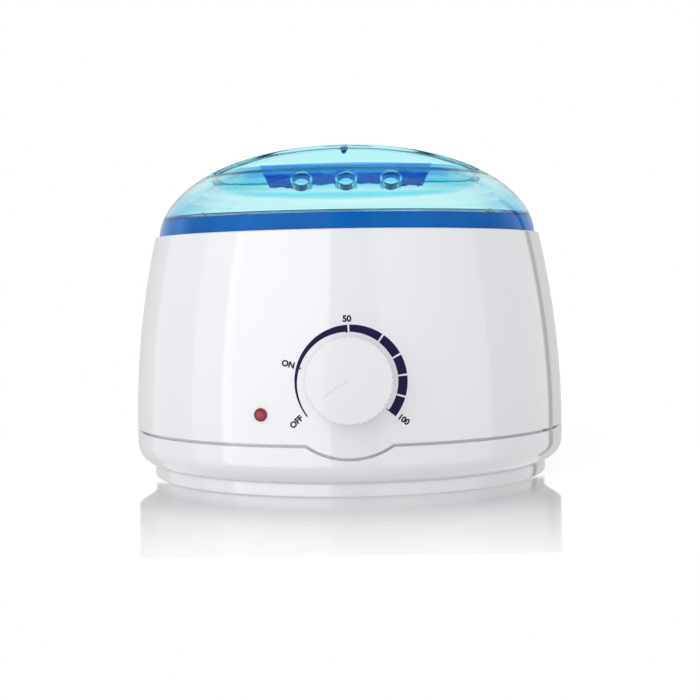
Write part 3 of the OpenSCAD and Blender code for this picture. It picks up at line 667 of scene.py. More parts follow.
def make_housing():
    """Upper shell: wall, rim, recess for the lid and the round apron under the dial."""
    low = SEAM_Z + SEAM_HALF
    blend_z, levels = 40 * MM, 40
    rim, recess = side_r(BODY_H) - RECESS_R, side_r(LID_Z) - RECESS_R
    rises = [low + (BODY_H - low) * i / levels for i in range(1, levels)]
    outline = rounded(
        [(0, low, 0.35 * MM)]
        + [(0, z) for z in rises]
        + [(0, BODY_H, 0.55 * MM), (rim, BODY_H, 0.45 * MM)]
        + [(recess, LID_Z), (WALL, LID_Z)]
        + [(WALL, z) for z in reversed(rises[4:-2])]
        + [(WALL, low, 0.3 * MM)]
    )

    def warp(inset, z, angle):
        aside = (BODY_R - inset) * sin(angle)
        edge = low
        if cos(angle) > 0 and abs(aside) < APRON_R:
            edge = min(low, DIAL_Z - sqrt(APRON_R**2 - aside**2))
        if z < blend_z:
            z = blend_z - (blend_z - z) * (blend_z - edge) / (blend_z - low)
        return side_r(z) - inset, z

    corner = sqrt(APRON_R**2 - (DIAL_Z - low) ** 2)
    body = lathe("housing_shell", outline, front_angles(corner), warp)
    # Radii in mm and places of the holes for the thermostat, the lamp and the gland.
    holes = (4.6, 0, DIAL_Z), (2.5, LAMP_ANGLE, LAMP_Z), (5, pi, GLAND_Z)
    carve(body, [rod(*mm(r, -6, 3), on_wall(turn, z)) for r, turn, z in holes])
    wall_normals(body)
    return body


def make_base():
    """Lower shell: wall, shoulder, foot, floor with vents and the screw posts."""
    high = SEAM_Z - SEAM_HALF
    groove_out, groove_in, groove_top, hollow_r = mm(81, 77.1, 5, 74.7)
    inner_r = SHOULDER_R - WALL
    shoulder = arc((BODY_R - SHOULDER_R, SHOULDER_Z), SHOULDER_R, 0, -85, 16)
    corner = arc((LIP_IN - inner_r, SHOULDER_Z), inner_r, -90, 0, 10)
    foot_edge = rounded([
        (FOOT_R, FOOT_Z - 1.1 * MM), (FOOT_R, FOOT_LOW, 0.5 * MM),
        (groove_out, FOOT_LOW),
    ])
    outline = (
        rounded([(LIP_R, high), (BODY_R, high, 0.35 * MM), shoulder[0]])[:-1]
        + shoulder
        + [(FOOT_R - 0.55 * MM, FOOT_Z - 0.1 * MM)]
        + [(FOOT_R - 0.2 * MM, FOOT_Z - 0.5 * MM)]
        + foot_edge
        + [(groove_out, groove_top), (groove_in, groove_top), (groove_in, FOOT_LOW)]
        + [(hollow_r, FOOT_LOW), (hollow_r, FOOT_Z), (0, FOOT_Z), (0, FLOOR_TOP)]
        + corner
        + [(LIP_IN, LIP_TOP), (LIP_R, LIP_TOP)]
    )
    gap_r = APRON_R + APRON_GAP

    def warp(r, z, angle):
        aside = BODY_R * sin(angle)
        if cos(angle) < 0 or abs(aside) > gap_r or r < LIP_R - TINY:
            return r, z
        top = min(high, DIAL_Z - sqrt(gap_r**2 - aside**2))
        if SHOULDER_Z < z < high + TINY:
            z = SHOULDER_Z + (z - SHOULDER_Z) * (top - SHOULDER_Z) / (high - SHOULDER_Z)
        return r, z

    corner_x = sqrt(gap_r**2 - (DIAL_Z - high) ** 2)
    base = lathe("base_lower_shell", outline, front_angles(corner_x), warp)
    posts, post_ring, post_r, stud_r, stud_top = 4, *mm(73.1, 4.5, 3.5, 10)
    turns = [pi / 4 + i * pi / 2 for i in range(posts)]
    spots = [spin(turn) @ shift(post_ring, 0, 0) for turn in turns]
    block = [shift(*mm(x, 30, 0)) for x in (-5, 5)]
    grip = FLOOR_TOP - 0.7 * MM
    bars = [rod(post_r, grip, LIP_TOP, s) for s in spots]
    bars += [rod(stud_r, grip, stud_top, s) for s in block]
    carve(base, bars, "UNION")
    pilot_r, stud_pilot_r, sink_r, past = mm(1.7, 1.55, 3.1, 2)
    holes = [rod(pilot_r, FOOT_Z + 2 * MM, 30 * MM, s, 24) for s in spots]
    holes += [rod(stud_pilot_r, FOOT_Z + 1 * MM, stud_top + past, s, 24) for s in block]
    carve(base, holes)
    sinks = [rod(sink_r, *mm(-1, 11.5), s, 32) for s in spots]
    carve(base, sinks + [vent_cutter(i) for i in range(12)])
    wall_normals(base)
    return base


def vent_cutter(i):
    """Slot with round ends through the base's floor."""
    inner, outer, half, low, high = mm(44, 62, 1.5, 4, 10)
    ends = arc((outer - half, 0), half, -90, 90, 8)
    ends += arc((inner + half, 0), half, 90, 270, 8)
    slot = slab("vent", ends, low, high)
    slot.data.transform(spin(radians(15 + 30 * i)))
    return slot


def make_foot_ring():
    """Rubber ring under the foot, with rounder edges below."""
    inner, low_edge, top_edge = mm(77.2, 0.6, 0.3)
    outline = rounded([
        (RING_R, 0, low_edge), (RING_R, RING_H, top_edge), (inner, RING_H, top_edge),
        (inner, 0, low_edge),
    ])
    return lathe("rubber_foot", outline, even_angles(180))


def soft_min(a, b, width):
    """Lower of two heights, rounded where they meet."""
    near = np.maximum(width - np.abs(a - b), 0) / width
    return np.minimum(a, b) - near**2 * width / 4


def soft_max(a, b, width):
    return -soft_min(-a, -b, width)


def lid_height(x, y, t):
    """Height of the lid's outer face, or of its inner face for a wall t."""
    bend_back, bend_front, bend_rim = mm(9, 2.2, 1.1)
    r = np.hypot(x, y)
    dome = DOME_Z + (DOME_H - t) * np.sqrt(np.maximum(1 - (r / (LID_R - t)) ** 2, 0))
    floor = SCOOP_FLOOR - t
    side = floor + np.maximum(r - SCOOP_R - t, 0) * SCOOP_RISE
    foot = BAR_FOOT - t / sin(BAR_SLOPE) + t / tan(BAR_SLOPE)
    bar = floor + (foot - np.abs(y)) * tan(BAR_SLOPE)
    bend = np.where(y > 0, bend_back, bend_front)
    scoop = soft_max(soft_max(side, bar, bend), floor + 0 * r, bend)
    return soft_min(dome, scoop, bend_rim)


def make_lid():
    """Clear dome with two finger scoops, a grip bar, three vents and a thick band."""
    columns, skirt_rows = 300, 14
    nub_r, nub_soft, nub_deep = mm(1.5, 0.5, 2.2)
    angles = np.array(even_angles(columns))
    fine = list(np.arange(0, 66 * MM, 0.75 * MM))

    def sheet(t):
        """Rows from the middle out, closer together at the skirt."""
        reach = LID_R - t
        start = acos(fine[-1] / reach)
        shares = [1 - k / skirt_rows for k in range(1, skirt_rows + 1)]
        rows = []
        for r in fine + [reach * cos(start * share) for share in shares]:
            x, y = r * np.sin(angles), -r * np.cos(angles)
            z = lid_height(x, y, t)
            if t:
                nub = np.hypot(x + NUB_X, y)
                z = z - nub_deep * np.clip((nub_r - nub) / nub_soft, 0, 1)
            rows.append(np.stack([x, y, z], 1))
        return rows

    outer = sheet(0)
    inner = [row for row in sheet(LID_T) if row[0][2] > BAND_TOP + 0.2 * MM]
    edge = rounded([
        (LID_R, DOME_Z), (LID_R, LID_Z, 0.35 * MM),
        (LID_R - LID_T - 1.75 * MM, LID_Z, 0.3 * MM), (BAND_IN, BAND_TOP),
    ])
    skirt = [
        np.stack([r * np.sin(angles), -r * np.cos(angles), np.full(columns, z)], 1)
        for r, z in edge
    ]
    rows = outer + skirt + inner[::-1]
    points = np.concatenate(rows).tolist()
    lid = build("clear_lid", points, grid_faces(len(rows), columns), 40)
    tilt = spin(BAR_SLOPE, "X")
    places = [shift(i * VENT_PITCH, VENT_Y, VENT_Z) @ tilt for i in (-1, 0, 1)]
    deep = LID_T + VENT_COLLAR
    collar_r, past, flare = VENT_R + 1.2 * MM, 0.6 * MM, 0.9 * MM
    collars = [rod(collar_r, -deep, -1 * MM, p) for p in places]
    holes = [rod(VENT_R, -deep - past, past, p, 48, flare) for p in places]
    carve(lid, collars, "UNION", sharp=40)
    return carve(lid, holes, sharp=40)


def make_knob(look):
    """Fluted knob with a slightly domed face, an engraved pointer and a hub."""
    radius, back, face, dome, thick = mm(16, 0.8, 14.8, 1.2, 2)
    hub_r, hub_back, bore, flute_deep = mm(5.6, 4.2, 3.05, 0.42)
    crown_steps = 14
    inner, web, bore_end = radius - thick, face - 3.2 * MM, face - 3.3 * MM
    shares = [k / crown_steps for k in range(crown_steps)]
    front_edge = rounded([
        (0.95 * radius, face - 0.9 * dome), (radius, face - dome, 0.9 * MM),
        (radius, back),
    ])
    back_edge = rounded([
        (radius, back + 1 * MM), (radius, back, 0.3 * MM), (inner, back, 0.2 * MM),
        (inner, face),
    ])
    outline = (
        [(radius * share, face - dome * share**2) for share in shares]
        + front_edge[1:-1]
        + [(radius, z) for z in np.linspace(web, back + 0.6 * MM, 8)]
        + back_edge[1:-1]
        + [(inner, web), (hub_r, web), (hub_r, hub_back)]
        + [(bore, hub_back), (bore, bore_end), (0, bore_end)]
    )

    def warp(r, z, angle):
        share = max(0, min(1, (r - 0.9 * radius) / (0.1 * radius)))
        valley = 0.5 - 0.5 * cos(look.flutes * angle)
        return r - flute_deep * share * valley**1.5, z

    place = on_wall(0, DIAL_Z)
    knob = lathe("dial_knob", outline, even_angles(look.flutes * 8), warp, place, 30)
    groove = pointer_cutter(face, dome / radius**2)
    groove.data.transform(place @ spin(radians(look.pointer)))
    return carve(knob, [groove], sharp=30)


def pointer_cutter(top, fall):
    """Wedge that cuts a V-shaped line along +X in a face that falls off outwards."""
    start, end, half, depth, rise = mm(0.5, 10.4, 0.5, 0.3, 1.2)
    wide = half * (depth + rise) / depth
    sections = []
    for x in np.linspace(start, end, 9):
        z = top - fall * x**2
        sections.append([(x, -wide, z + rise), (x, wide, z + rise), (x, 0, z - depth)])
    return skin("cut", sections)


def make_lens():
    """Domed red lens with the shoulder that holds it behind the wall."""
    r, edge, flatness = 2.4, 0.6, 0.7
    turns = [radians(d) for d in range(90, -1, -6)]
    corners = [(r * cos(a), edge + flatness * r * sin(a)) for a in turns]
    corners += [(r, -2.7), (3.6, -2.7), (3.6, -3.8)]
    corners += [(1.6, -3.8), (1.6, -0.4), (0, -0.4)]
    outline = [mm(*corner) for corner in corners]
    place = on_wall(LAMP_ANGLE, LAMP_Z)
    return lathe("pilot_lens", outline, even_angles(64), place=place)


def make_gland():
    """Rubber gland with a rounded collar outside and a grooved neck."""
    bore, neck, collar, inner = 3.5, 4.9, 6.5, 6
    outer_z, wall_z, neck_z, inner_z = 2, 0.1, -2.85, -4.35
    corners = [
        (bore, inner_z, 0.3), (inner, inner_z, 0.5), (inner, neck_z, 0.2),
        (neck, neck_z), (neck, wall_z), (collar, wall_z, 0.05),
        (collar, outer_z, 0.8), (bore, outer_z, 0.6),
    ]
    outline = rounded([mm(*corner) for corner in corners])
    place = on_wall(pi, GLAND_Z)
    return lathe("cord_grommet", outline, even_angles(72), place=place)


def make_pot():
    """Spun aluminium pot with a curled edge."""
    foot_bend, rim_low = 3 * MM, POT_RIM_Z - POT_T
    outside = rounded([
        (0, POT_Z), (POT_FOOT_R, POT_Z, foot_bend), (POT_R, rim_low, 0.8 * MM),
        (CURL_MID, rim_low),
    ])[:-1]
    curl = arc((CURL_MID, CURL_Z), CURL_R, 250, 470, 20)
    inside = rounded([
        (CURL_MID, POT_RIM_Z), (POT_R - POT_T, POT_RIM_Z, 1.2 * MM),
        (POT_FOOT_R - POT_T, POT_Z + POT_T, foot_bend), (0, POT_Z + POT_T),
    ])[1:]
    return lathe("wax_pot", outside + curl + inside, even_angles(180), sharp=40)


def make_ears():
    """Ears with the holes that the bail turns in, bent up from riveted tabs."""
    half, thick, top, tab_end, overlap = mm(7, 1.5, 108, 66.03, 0.5)
    rivet_r, rivet_x, rivet_y, past, play = mm(1.15, 64.16, 4.4, 1, 0.06)
    low, back = POT_RIM_Z, EAR_X + thick
    outline = [(-half, low), (half, low)] + arc((0, top - half), half, 0, 180, 24)
    hole = arc((0, BAIL_Z), BAIL_R + play, 360, 0, 24)[:-1]
    start = back - overlap
    tab = [(start, -half), (tab_end, -half), (tab_end, half), (start, half)]
    plates = []
    for turn in (0, pi):
        plate = slab("ear", outline, EAR_X, back, sideways=True)
        carve(plate, [slab("hole", hole, EAR_X - past, back + past, sideways=True)])
        carve(plate, [slab("tab", tab, low, low + thick)], "UNION")
        pins = [
            rod(rivet_r, low - past, low + 3 * MM, shift(rivet_x, y, 0), 24)
            for y in (-rivet_y, rivet_y)
        ]
        carve(plate, pins)
        plate.data.transform(spin(turn))
        plates.append(plate)
    ears = merged("pot_ear_plates", plates)
    soften = ears.modifiers.new("edges", "BEVEL")
    soften.width, soften.segments, soften.limit_method = 0.25 * MM, 2, "ANGLE"
    return ears


def make_bail():
    """Round wire, folded down behind the pot, with a button at each end."""
    bend = 3 * MM
    button_r, thick, edge = mm(2.4, 0.9, 0.35)
    tip = EAR_X - 0.3 * MM
    half = [(tip - thick / 2, 0), (CURL_MID - bend, 0)]
    half += arc((CURL_MID - bend, bend), bend, -75, 0, 5)
    half += arc((0, bend), CURL_MID, 2.5, 90, 35)
    route = half + [(-x, y) for x, y in reversed(half[:-1])]
    wire = tube("wire", [Vector((x, y, BAIL_Z)) for x, y in route], BAIL_R, 20)
    outline = rounded([
        (0, tip - thick), (button_r, tip - thick, edge), (button_r, tip, edge),
        (0, tip),
    ], 3)
    ends = [shift(0, 0, BAIL_Z) @ spin(s * pi / 2, "Y") for s in (1, -1)]
    buttons = [lathe("button", outline, even_angles(32), place=end) for end in ends]
    return carve(wire, buttons, "UNION")


def tube(name, path, radius, sides):
    """Round tube along a flat route, closed at both ends."""
    up = Vector((0, 0, 1))
    sections = []
    for i, p in enumerate(path):
        ahead = path[min(i + 1, len(path) - 1)] - path[max(i - 1, 0)]
        aside = ahead.normalized().cross(up).normalized()
        turns = even_angles(sides)
        sections.append([p + radius * (aside * cos(a) + up * sin(a)) for a in turns])
    return skin(name, sections)


def on_body(x, y, lift):
    """Point of the print: x across and y up from the dial's centre, over the wall."""
    x, z = x + PRINT_X, DIAL_Z + PRINT_UP + y
    r = side_r(z) + lift
    return Vector((x, -sqrt(r * r - x * x), z))


def at(radius, degrees):
    """Point of the print at a radius and an angle."""
    a = radians(degrees)
    return radius * cos(a), radius * sin(a)


def band_width(angle):
    """Width of the scale's band at an angle, thin at OFF and wide at the end."""
    stops = [(-38, 3.5), (40, 3.4), (94, 2.6), (135, 1.8), (180, 0.95), (217, 0.5)]
    return np.interp(angle, *zip(*stops)) * MM


def scale_band(first, last, inner=None):
    """One stretch of the scale's band, between two angles in degrees."""
    steps = max(2, int((last - first) / 2.5))
    sections = []
    for k in range(steps + 1):
        a = first + (last - first) * k / steps
        low, high = at(inner or PRINT_R - band_width(a), a), at(PRINT_R, a)
        corners = ((low, INK_LOW), (low, INK_TOP), (high, INK_TOP), (high, INK_LOW))
        sections.append([on_body(*p, lift) for p, lift in corners])
    return skin("band", sections)


def letters(text, size, place, turn):
    """Printed text, centred at a place and turned by degrees, laid on the wall."""
    curve = bpy.data.curves.new("text", "FONT")
    curve.body, curve.size = text, size
    curve.align_x, curve.align_y = "CENTER", "CENTER"
    curve.extrude, curve.offset = 0.075 * MM, 0.14 * MM
    curve.resolution_u = 6
    source = show("text", curve)
    bpy.context.view_layer.update()
    mesh = settled(source)
    bpy.data.objects.remove(source)
    turned = Matrix.Rotation(radians(turn), 2)
    points = []
    for v in mesh.vertices:
        flat = turned @ Vector((v.co.x, v.co.y)) + Vector(place)
        points.append(on_body(*flat, INK_TOP if v.co.z > 0 else INK_LOW))
    faces = [list(p.vertices) for p in mesh.polygons]
    bpy.data.meshes.remove(mesh)
    return build("word", points, faces)


def make_print(look):
    """The dial's scale, printed on the wall."""
    gap = 1.0
    # Stretches of the band, each followed by a gap.
    stretches = zip(SCALE_BREAKS, SCALE_BREAKS[1:] + [SCALE_END - gap])
    parts = [scale_band(SCALE_BREAKS[0] + gap, SCALE_START)]
    parts += [scale_band(low + gap, high - gap) for high, low in stretches]
    # Ticks at 50, ON and 100, with the radius that each reaches in to.
    for first, last, inner in ((93, 95.2, 17.9), (164, 166, 19), (-39, -37.9, 16.3)):
        parts.append(scale_band(first, last, inner * MM))
    words = [
        ("OFF", 1, 25.0, 216, 43),
        ("ON", 1, 23.9, 164.3, -15),
        ("50", 1.05, 22.9, 93, 0),
        ("100", 1, 23.9, -37, -38),
    ]
    for text, size, radius, angle, turn in words:
        place = at(radius * MM, angle)
        parts.append(letters(text, size * look.letter_height, place, turn))
    return merged("dial_scale", parts)


# CAD nodes that stay as they are: how a finish is made, its name and its numbers.
KEPT_NODES = [
    (plated_metal, "zinc-plated steel", (0.62, 0.62, 0.64), 0.28,
        "base_screws well_screws heater_clamp_screw heater_clamp_nut thermal_fuse "
        "fuse_strap fuse_screw thermostat_shaft knob_clip block_screws"),
    (spun_metal, "turned aluminium", (0.78, 0.78, 0.8), 0.22, 0.35 * MM,
        "heating_well ear_rivets"),
    (plated_metal, "brass", (0.78, 0.56, 0.26), 0.26,
        "thermostat_terminals thermostat_nut terminal_screws"),
    (plated_metal, "mica and steel", (0.5, 0.42, 0.32), 0.38, "heater_band"),
    (matt_material, "glass fibre", (0.86, 0.82, 0.7), 0.8, 900, 0.5 * MM,
        "insulation_wrap"),
    (matt_material, "ceramic", (0.86, 0.83, 0.76), 0.45, 1400, 0.02 * MM, 0.93,
        "thermostat_body terminal_block"),
    (matt_material, "red silicone", (0.5, 0.09, 0.06), 0.5, 800, "well_gasket"),
    (matt_material, "grey plastic", (0.4, 0.4, 0.41), 0.45, 1200, "lamp_holder"),
    (glass_material, "lamp glass", (0.95, 0.7, 0.5), "neon_lamp"),
    (matt_material, "brown insulation", (0.2, 0.09, 0.05), 0.45, 900, "supply_lead"),
    (matt_material, "white braid", (0.8, 0.8, 0.78), 0.7, 2400, 0.12 * MM,
        "heater_leads"),
    (matt_material, "grey insulation", (0.25, 0.25, 0.27), 0.45, 900, "fuse_lead"),
    (matt_material, "red insulation", (0.5, 0.03, 0.04), 0.4, 900, "lamp_leads"),
]


def finish_nodes(material, names):
    """Gives CAD nodes a material and smooth faces."""
    for name in names.split():
        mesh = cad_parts[name].data
        dress(mesh, material)
        smooth(mesh, 30)


def paint(name, description, default):
    """Property for a colour."""
    return FloatVectorProperty(
        name=name, description=description, default=default,
        subtype="COLOR", size=3, min=0, max=1,
    )


def amount(name, description, default, most=1, least=0, **more):
    """Property for a number within limits."""
    return FloatProperty(
        name=name, description=description, default=default, min=least, max=most, **more
    )


class ShellLook(bpy.types.PropertyGroup):
    """Finish of the white body."""

    white: paint("White", "Colour of the body", (0.86, 0.872, 0.9))
    roughness: amount("Roughness", "Roughness of the body", 0.12, subtype="FACTOR")
    coat: amount("Coat", "Strength of the gloss coat", 1.0, subtype="FACTOR")


class LidLook(bpy.types.PropertyGroup):
    """Finish of the clear lid."""

    clear: paint("Dome", "Tint of one wall of the dome", (0.8, 1.0, 1.0))
    # Painted shade: the dome's sides are tinted deeper where the view crosses the walls
    # at a slant.
    clear_side_shade: paint("Dome side", "Tint of one wall at the sides", (0.5, 0.84, 1.0))
    # Painted shade: the scoop's slope is tinted to stand in for the shade of the bar
    # seen through it.
    slope: paint("Scoop slope", "Tint of the front scoop's slope", (0.55, 0.8, 0.98))
    # Painted shade on the grip bar's front wall, deeper below and lighter higher up.
    wall: paint("Bar wall", "Tint of the grip bar's front wall", (0.004, 0.07, 0.48))
    wall_top_shade: paint("Bar wall, top", "Tint of that wall higher up", (0.08, 0.32, 0.87))
    # Painted shade inside the vents and on the nub.
    vent: paint("Vent", "Tint inside the steam vents", (0.0, 0.02, 0.28))
    # Band: partly the plastic's own colour, partly painted shade; its ends are painted
    # lighter.
    band: paint("Band", "Colour of the thick band", (0.002, 0.165, 0.6))
    band_end_light: paint("Band end", "Colour of the band at its sides", (0.13, 0.4, 1.0))
    depth_tint: paint("Depth tint", "Colour of thick plastic", (0.0, 0.87, 0.975))
    depth: amount("Depth", "How fast the plastic deepens, per metre", 40, 1000)
    ior: amount("IOR", "Refractive index of the plastic", 1.33, 2, 1)


class DialLook(bpy.types.PropertyGroup):
    """The knob, the print and the lamp."""

    ink: paint("Ink", "Colour of the print", (0.009, 0.005, 0.042))
    # Painted light and shade on the lens: lighter in the middle, darker at its edge.
    lens: paint("Lens", "Colour in the middle of the lamp's lens", (0.5, 0.06, 0.08))
    lens_edge_shade: paint("Lens edge", "Colour at the lens's edge", (0.12, 0.008, 0.015))
    letter_height: amount(
        "Letters", "Type size of the words on the dial", 3.05 * MM, 6 * MM, 1 * MM,
        unit="LENGTH",
    )
    flutes: IntProperty(
        name="Flutes", description="Grip flutes round the knob", min=24, max=72,
        default=48,
    )
    pointer: amount("Pointer", "Its angle at rest, in degrees from the right", 212, 360)


class StageLook(bpy.types.PropertyGroup):
    """Light and floor."""

    sky: amount("Room light", "Level of the light from all round", 0.45, 2)
    bounce: amount("Floor light", "Level of the light from the floor", 0.75, 2)
    key: amount("Key panel", "Brightness of the panel at front left", 1.25, 10)
    fill: amount("Fill panel", "Brightness of the panel at front right", 0.5, 10)
    top: amount("Top panel", "Brightness of the panel overhead", 0.6, 10)


class WarmerLook(bpy.types.PropertyGroup):
    """All the looks of the warmer."""

    shell: PointerProperty(type=ShellLook, name="Body", description="White body")
    lid: PointerProperty(type=LidLook, name="Lid", description="Clear lid")
    dial: PointerProperty(type=DialLook, name="Dial", description="Dial and lamp")
    stage: PointerProperty(type=StageLook, name="Stage", description="Light and floor")


class WARMER_OT_body(bpy.types.Operator):
    """Make the housing, the base shell and the rubber foot"""

    bl_idname = "warmer.body"
    bl_label = "Body"

    def execute(self, context):
        look = context.scene.warmer.shell
        white = gloss_plastic(
            "gloss white plastic", look.white, look.roughness, look.coat, 0.012 * MM
        )
        rubber = matt_material(
            "foot rubber", (0.64, 0.64, 0.66), 0.6, 1500, 0.03 * MM, 0.9
        )
        housing = ("housing_front", "housing_back")
        finish_piece(make_housing(), white, "base", "white_shell", *housing)
        finish_piece(make_base(), white, "base", "white_shell", "base_shell")
        finish_piece(make_foot_ring(), rubber, "base", "grey_rubber", "foot_ring")
        finish_piece(make_gland(), rubber, "base", "grey_rubber", "cord_gland")
        return {"FINISHED"}


class WARMER_OT_lid(bpy.types.Operator):
    """Make the clear lid"""

    bl_idname = "warmer.lid"
    bl_label = "Lid"

    def execute(self, context):
        look = context.scene.warmer.lid
        finish_piece(make_lid(), clear_lid_plastic(look), "lid", "clear_blue", "lid")
        return {"FINISHED"}


class WARMER_OT_dial(bpy.types.Operator):
    """Make the knob, the printed scale and the lamp's lens"""

    bl_idname = "warmer.dial"
    bl_label = "Dial and lamp"

    def execute(self, context):
        look = context.scene.warmer.dial
        white = context.scene.warmer.shell.white
        satin = gloss_plastic("satin white plastic", white, 0.2, 0.3, 0.005 * MM)
        red = lens_plastic(look)
        finish_piece(make_knob(look), satin, "dial", "white_knob", "knob")
        finish_piece(make_print(look), ink_material(look), "base", "white_shell")
        finish_piece(make_lens(), red, "base", "red_lens", "indicator_lens")
        return {"FINISHED"}


class WARMER_OT_pot(bpy.types.Operator):
    """Make the pot, its ears and its bail"""

    bl_idname = "warmer.pot"
    bl_label = "Pot"

    def execute(self, context):
        spun = spun_metal("spun aluminium", (0.8, 0.8, 0.82), 0.2, 0.4 * MM)
        wire = plated_metal("bright wire", (0.75, 0.75, 0.77), 0.1)
        ears = plated_metal("ear steel", (0.55, 0.53, 0.52), 0.25)
        finish_piece(make_pot(), spun, "pot", "aluminium", "inner_pot")
        finish_piece(make_ears(), ears, "pot", "steel", "pot_ears")
        finish_piece(make_bail(), wire, "bail", "chrome_wire", "bail")
        return {"FINISHED"}


class WARMER_OT_inner(bpy.types.Operator):
    """Finish the pieces inside the body"""

    bl_idname = "warmer.inner"
    bl_label = "Inner pieces"

    def execute(self, context):
        for make, *facts, names in KEPT_NODES:
            finish_nodes(make(*facts), names)
        white = context.scene.warmer.shell.white
        inner = gloss_plastic("white inner plastic", white, 0.22, 0.1, 0.02 * MM)
        finish_nodes(inner, "deck_ring")
        return {"FINISHED"}


class WARMER_OT_stage(bpy.types.Operator):
    """Make the floor, the light and the camera"""

    bl_idname = "warmer.stage"
    bl_label = "Stage"

    def execute(self, context):
        scene = context.scene
        look = scene.warmer.stage
        scene.view_settings.view_transform = "Standard"
        make_floor(look)
        make_world(scene, look)
        panel("key panel", -38, 0.25, (1.2, 1.7), look.key)
        panel("side panel", -74, 0.25, (0.5, 1.7), 0.4 * look.key)
        panel("fill panel", 46, 0.25, (1.3, 1.7), look.fill)
        overhead = panel("top panel", 0, 0.9, (0.8, 0.8), look.top, 0.1)
        overhead.visible_glossy = False
        make_card("dark flag", 125, 131.5, 0.0)
        make_card("right card", 131.6, 172, 0.66)
        make_card("left card", -172, -122, 0.7)
        make_camera(scene)
        return {"FINISHED"}


def ray(f, kind):
    """1 for rays of one kind, and 0 for the rest."""
    return f.add("ShaderNodeLightPath", out=f"Is {kind} Ray")


def seen_directly(f):
    """1 for the camera, gloss and clear plastic, and 0 for matt surfaces' light."""
    seen = ray(f, "Camera").math("MAXIMUM", ray(f, "Glossy"))
    return seen.math("MAXIMUM", ray(f, "Transmission"))


def make_floor(look):
    """White floor, glossy near the warmer, that keeps its shadow."""
    reach = 4.0
    corners = [(-reach, -reach, 0), (reach, -reach, 0), (reach, reach, 0)]
    floor = build("floor", corners + [(-reach, reach, 0)], [(0, 1, 2, 3)])
    f = new_finish("studio floor")
    x, y, _ = f.place()
    away, front = length(x, y), -1 * y
    # Light that it throws on the warmer: less from close by, a painted shadow that
    # stands in for the warmer shading it.
    near, painted_shadow_share = mm(75, 150), 0.7
    thrown = f.mix(
        away.step(*near), f.glow(painted_shadow_share * look.bounce), f.glow(look.bounce)
    )
    # What is seen of it: it takes a shadow near the warmer, and is white further off.
    shadowed, base_level, matt_level = mm(120, 260), 0.74, 0.42
    matt = f.add("ShaderNodeBsdfDiffuse", {"Color": rgba([matt_level] * 3)})
    lit = f.add("ShaderNodeAddShader", {0: f.glow(base_level), 1: matt})
    white = f.mix(away.step(*shadowed), lit, f.glow(1.0))
    # The reflection fades and ends a little in front of the warmer. It is level with
    # the warmer's sides, draws together towards the front, and needs a low view.
    mirror_level, mirror_roughness, strongest = 0.9, 0.19, 0.95
    fade_from, fade_to = mm(90, 220)
    end, side, back, foot = mm(190, 191.5), mm(90.5, 91.8), mm(-45, -30), mm(-90, -50)
    narrowing, foot_in, low_view = 0.155, 6.7 * MM, (0.55, 0.78)
    colour = {"Color": rgba([mirror_level] * 3), "Roughness": mirror_roughness}
    mirror = f.add("ShaderNodeBsdfGlossy", colour)
    limits = {"From Min": fade_from, "From Max": fade_to, "To Min": strongest}
    fade = f.add("ShaderNodeMapRange", {"Value": front, **limits, "To Max": 0})
    width = abs(x) - narrowing * y + foot_in * y.step(*foot)
    fade = fade * front.until(*end) * width.until(*side) * y.until(*back)
    facing = f.add("ShaderNodeLayerWeight", {"Blend": 0.5}, out=1)
    shown = f.mix(fade * facing.step(*low_view), white, mirror)
    dress(floor.data, f.output(f.mix(seen_directly(f), thrown, shown)))
    floor.visible_glossy = False


def make_world(scene, look):
    """Even light all round. It shows white to the camera and in low reflections."""
    world = bpy.data.worlds.new("studio")
    scene.world = world
    f = Finish(world)
    up = f.add("ShaderNodeTexCoord", out="Generated")
    height = f.add("ShaderNodeSeparateXYZ", {0: up}, out=2)
    high = height.step(0.4, 0.72)
    # Blue overhead, where the clear lid shows it, and dark where gloss mirrors it.
    colour = f.blend(high * ray(f, "Transmission"), WHITE, (0.16, 0.52, 1))
    colour = f.blend(high * ray(f, "Glossy"), colour, (0.05, 0.09, 0.2))
    level = look.sky + (1 - look.sky) * seen_directly(f)
    sockets = {"Color": colour, "Strength": level}
    f.output(f.add("ShaderNodeBackground", sockets), "World")


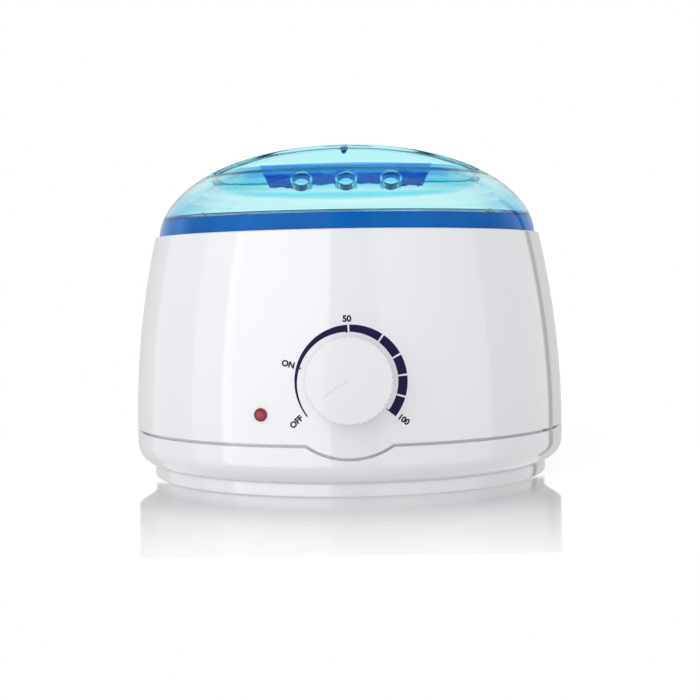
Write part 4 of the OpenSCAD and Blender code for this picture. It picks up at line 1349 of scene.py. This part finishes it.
def panel(name, turn, height, size, bright, distance=1.1):
    """Soft upright panel at an angle round from the front, or one overhead."""
    data = bpy.data.lights.new(name, "AREA")
    data.shape, data.size, data.size_y = "RECTANGLE", *size
    data.energy = bright * pi * size[0] * size[1]
    obj = show(name, data)
    place = Vector((*round_front(distance, radians(turn)), height))
    aim = Vector((-place.x, -place.y, 0)) if distance > height else Vector((0, 0, -1))
    obj.location = place
    obj.rotation_euler = aim.to_track_quat("-Z", "Y").to_euler()
    return obj


def make_card(name, first, last, level):
    """Upright card of a grey level, from one angle round to another, seen in gloss."""
    distance, low, high = 0.7, -0.3, 0.5
    ends = [round_front(distance, radians(turn)) for turn in (first, last)]
    points = [(*p, low) for p in ends] + [(*p, high) for p in reversed(ends)]
    card = build(name, points, [(0, 1, 2, 3)])
    f = new_finish(name)
    dress(card.data, f.output(f.glow(level)))
    card.visible_camera = card.visible_shadow = card.visible_diffuse = False
    card.visible_transmission = False


def make_camera(scene):
    """Camera at the photograph's place, which the rings of the body gave."""
    data = bpy.data.cameras.new("camera")
    data.lens, data.sensor_width = 69.0, 36
    place, down, roll = mm(0.547, -578.62, 78.32), radians(2.7), -0.0152
    camera = show("camera", data)
    camera.matrix_world = shift(*place) @ spin(pi / 2 - down, "X") @ spin(roll)
    scene.camera = camera


class WARMER_PT_panel(bpy.types.Panel):
    """Lists the steps that make the warmer"""

    bl_idname = "WARMER_PT_panel"
    bl_label = "Wax warmer"
    bl_space_type = "VIEW_3D"
    bl_region_type = "UI"
    bl_category = "Wax warmer"

    def draw(self, context):
        for step in STEPS:
            self.layout.operator(step.bl_idname)


STEPS = [
    WARMER_OT_stage, WARMER_OT_body, WARMER_OT_lid,
    WARMER_OT_dial, WARMER_OT_pot, WARMER_OT_inner,
]
CLASSES = [ShellLook, LidLook, DialLook, StageLook, WarmerLook, *STEPS, WARMER_PT_panel]


def register():
    for item in CLASSES:
        bpy.utils.register_class(item)
    bpy.types.Scene.warmer = PointerProperty(type=WarmerLook)


def unregister():
    del bpy.types.Scene.warmer
    for item in reversed(CLASSES):
        bpy.utils.unregister_class(item)


def main():
    register()
    bpy.ops.warmer.stage()
    bpy.ops.warmer.body()
    bpy.ops.warmer.lid()
    bpy.ops.warmer.dial()
    bpy.ops.warmer.pot()
    bpy.ops.warmer.inner()


if __name__ == "__main__":
    main()
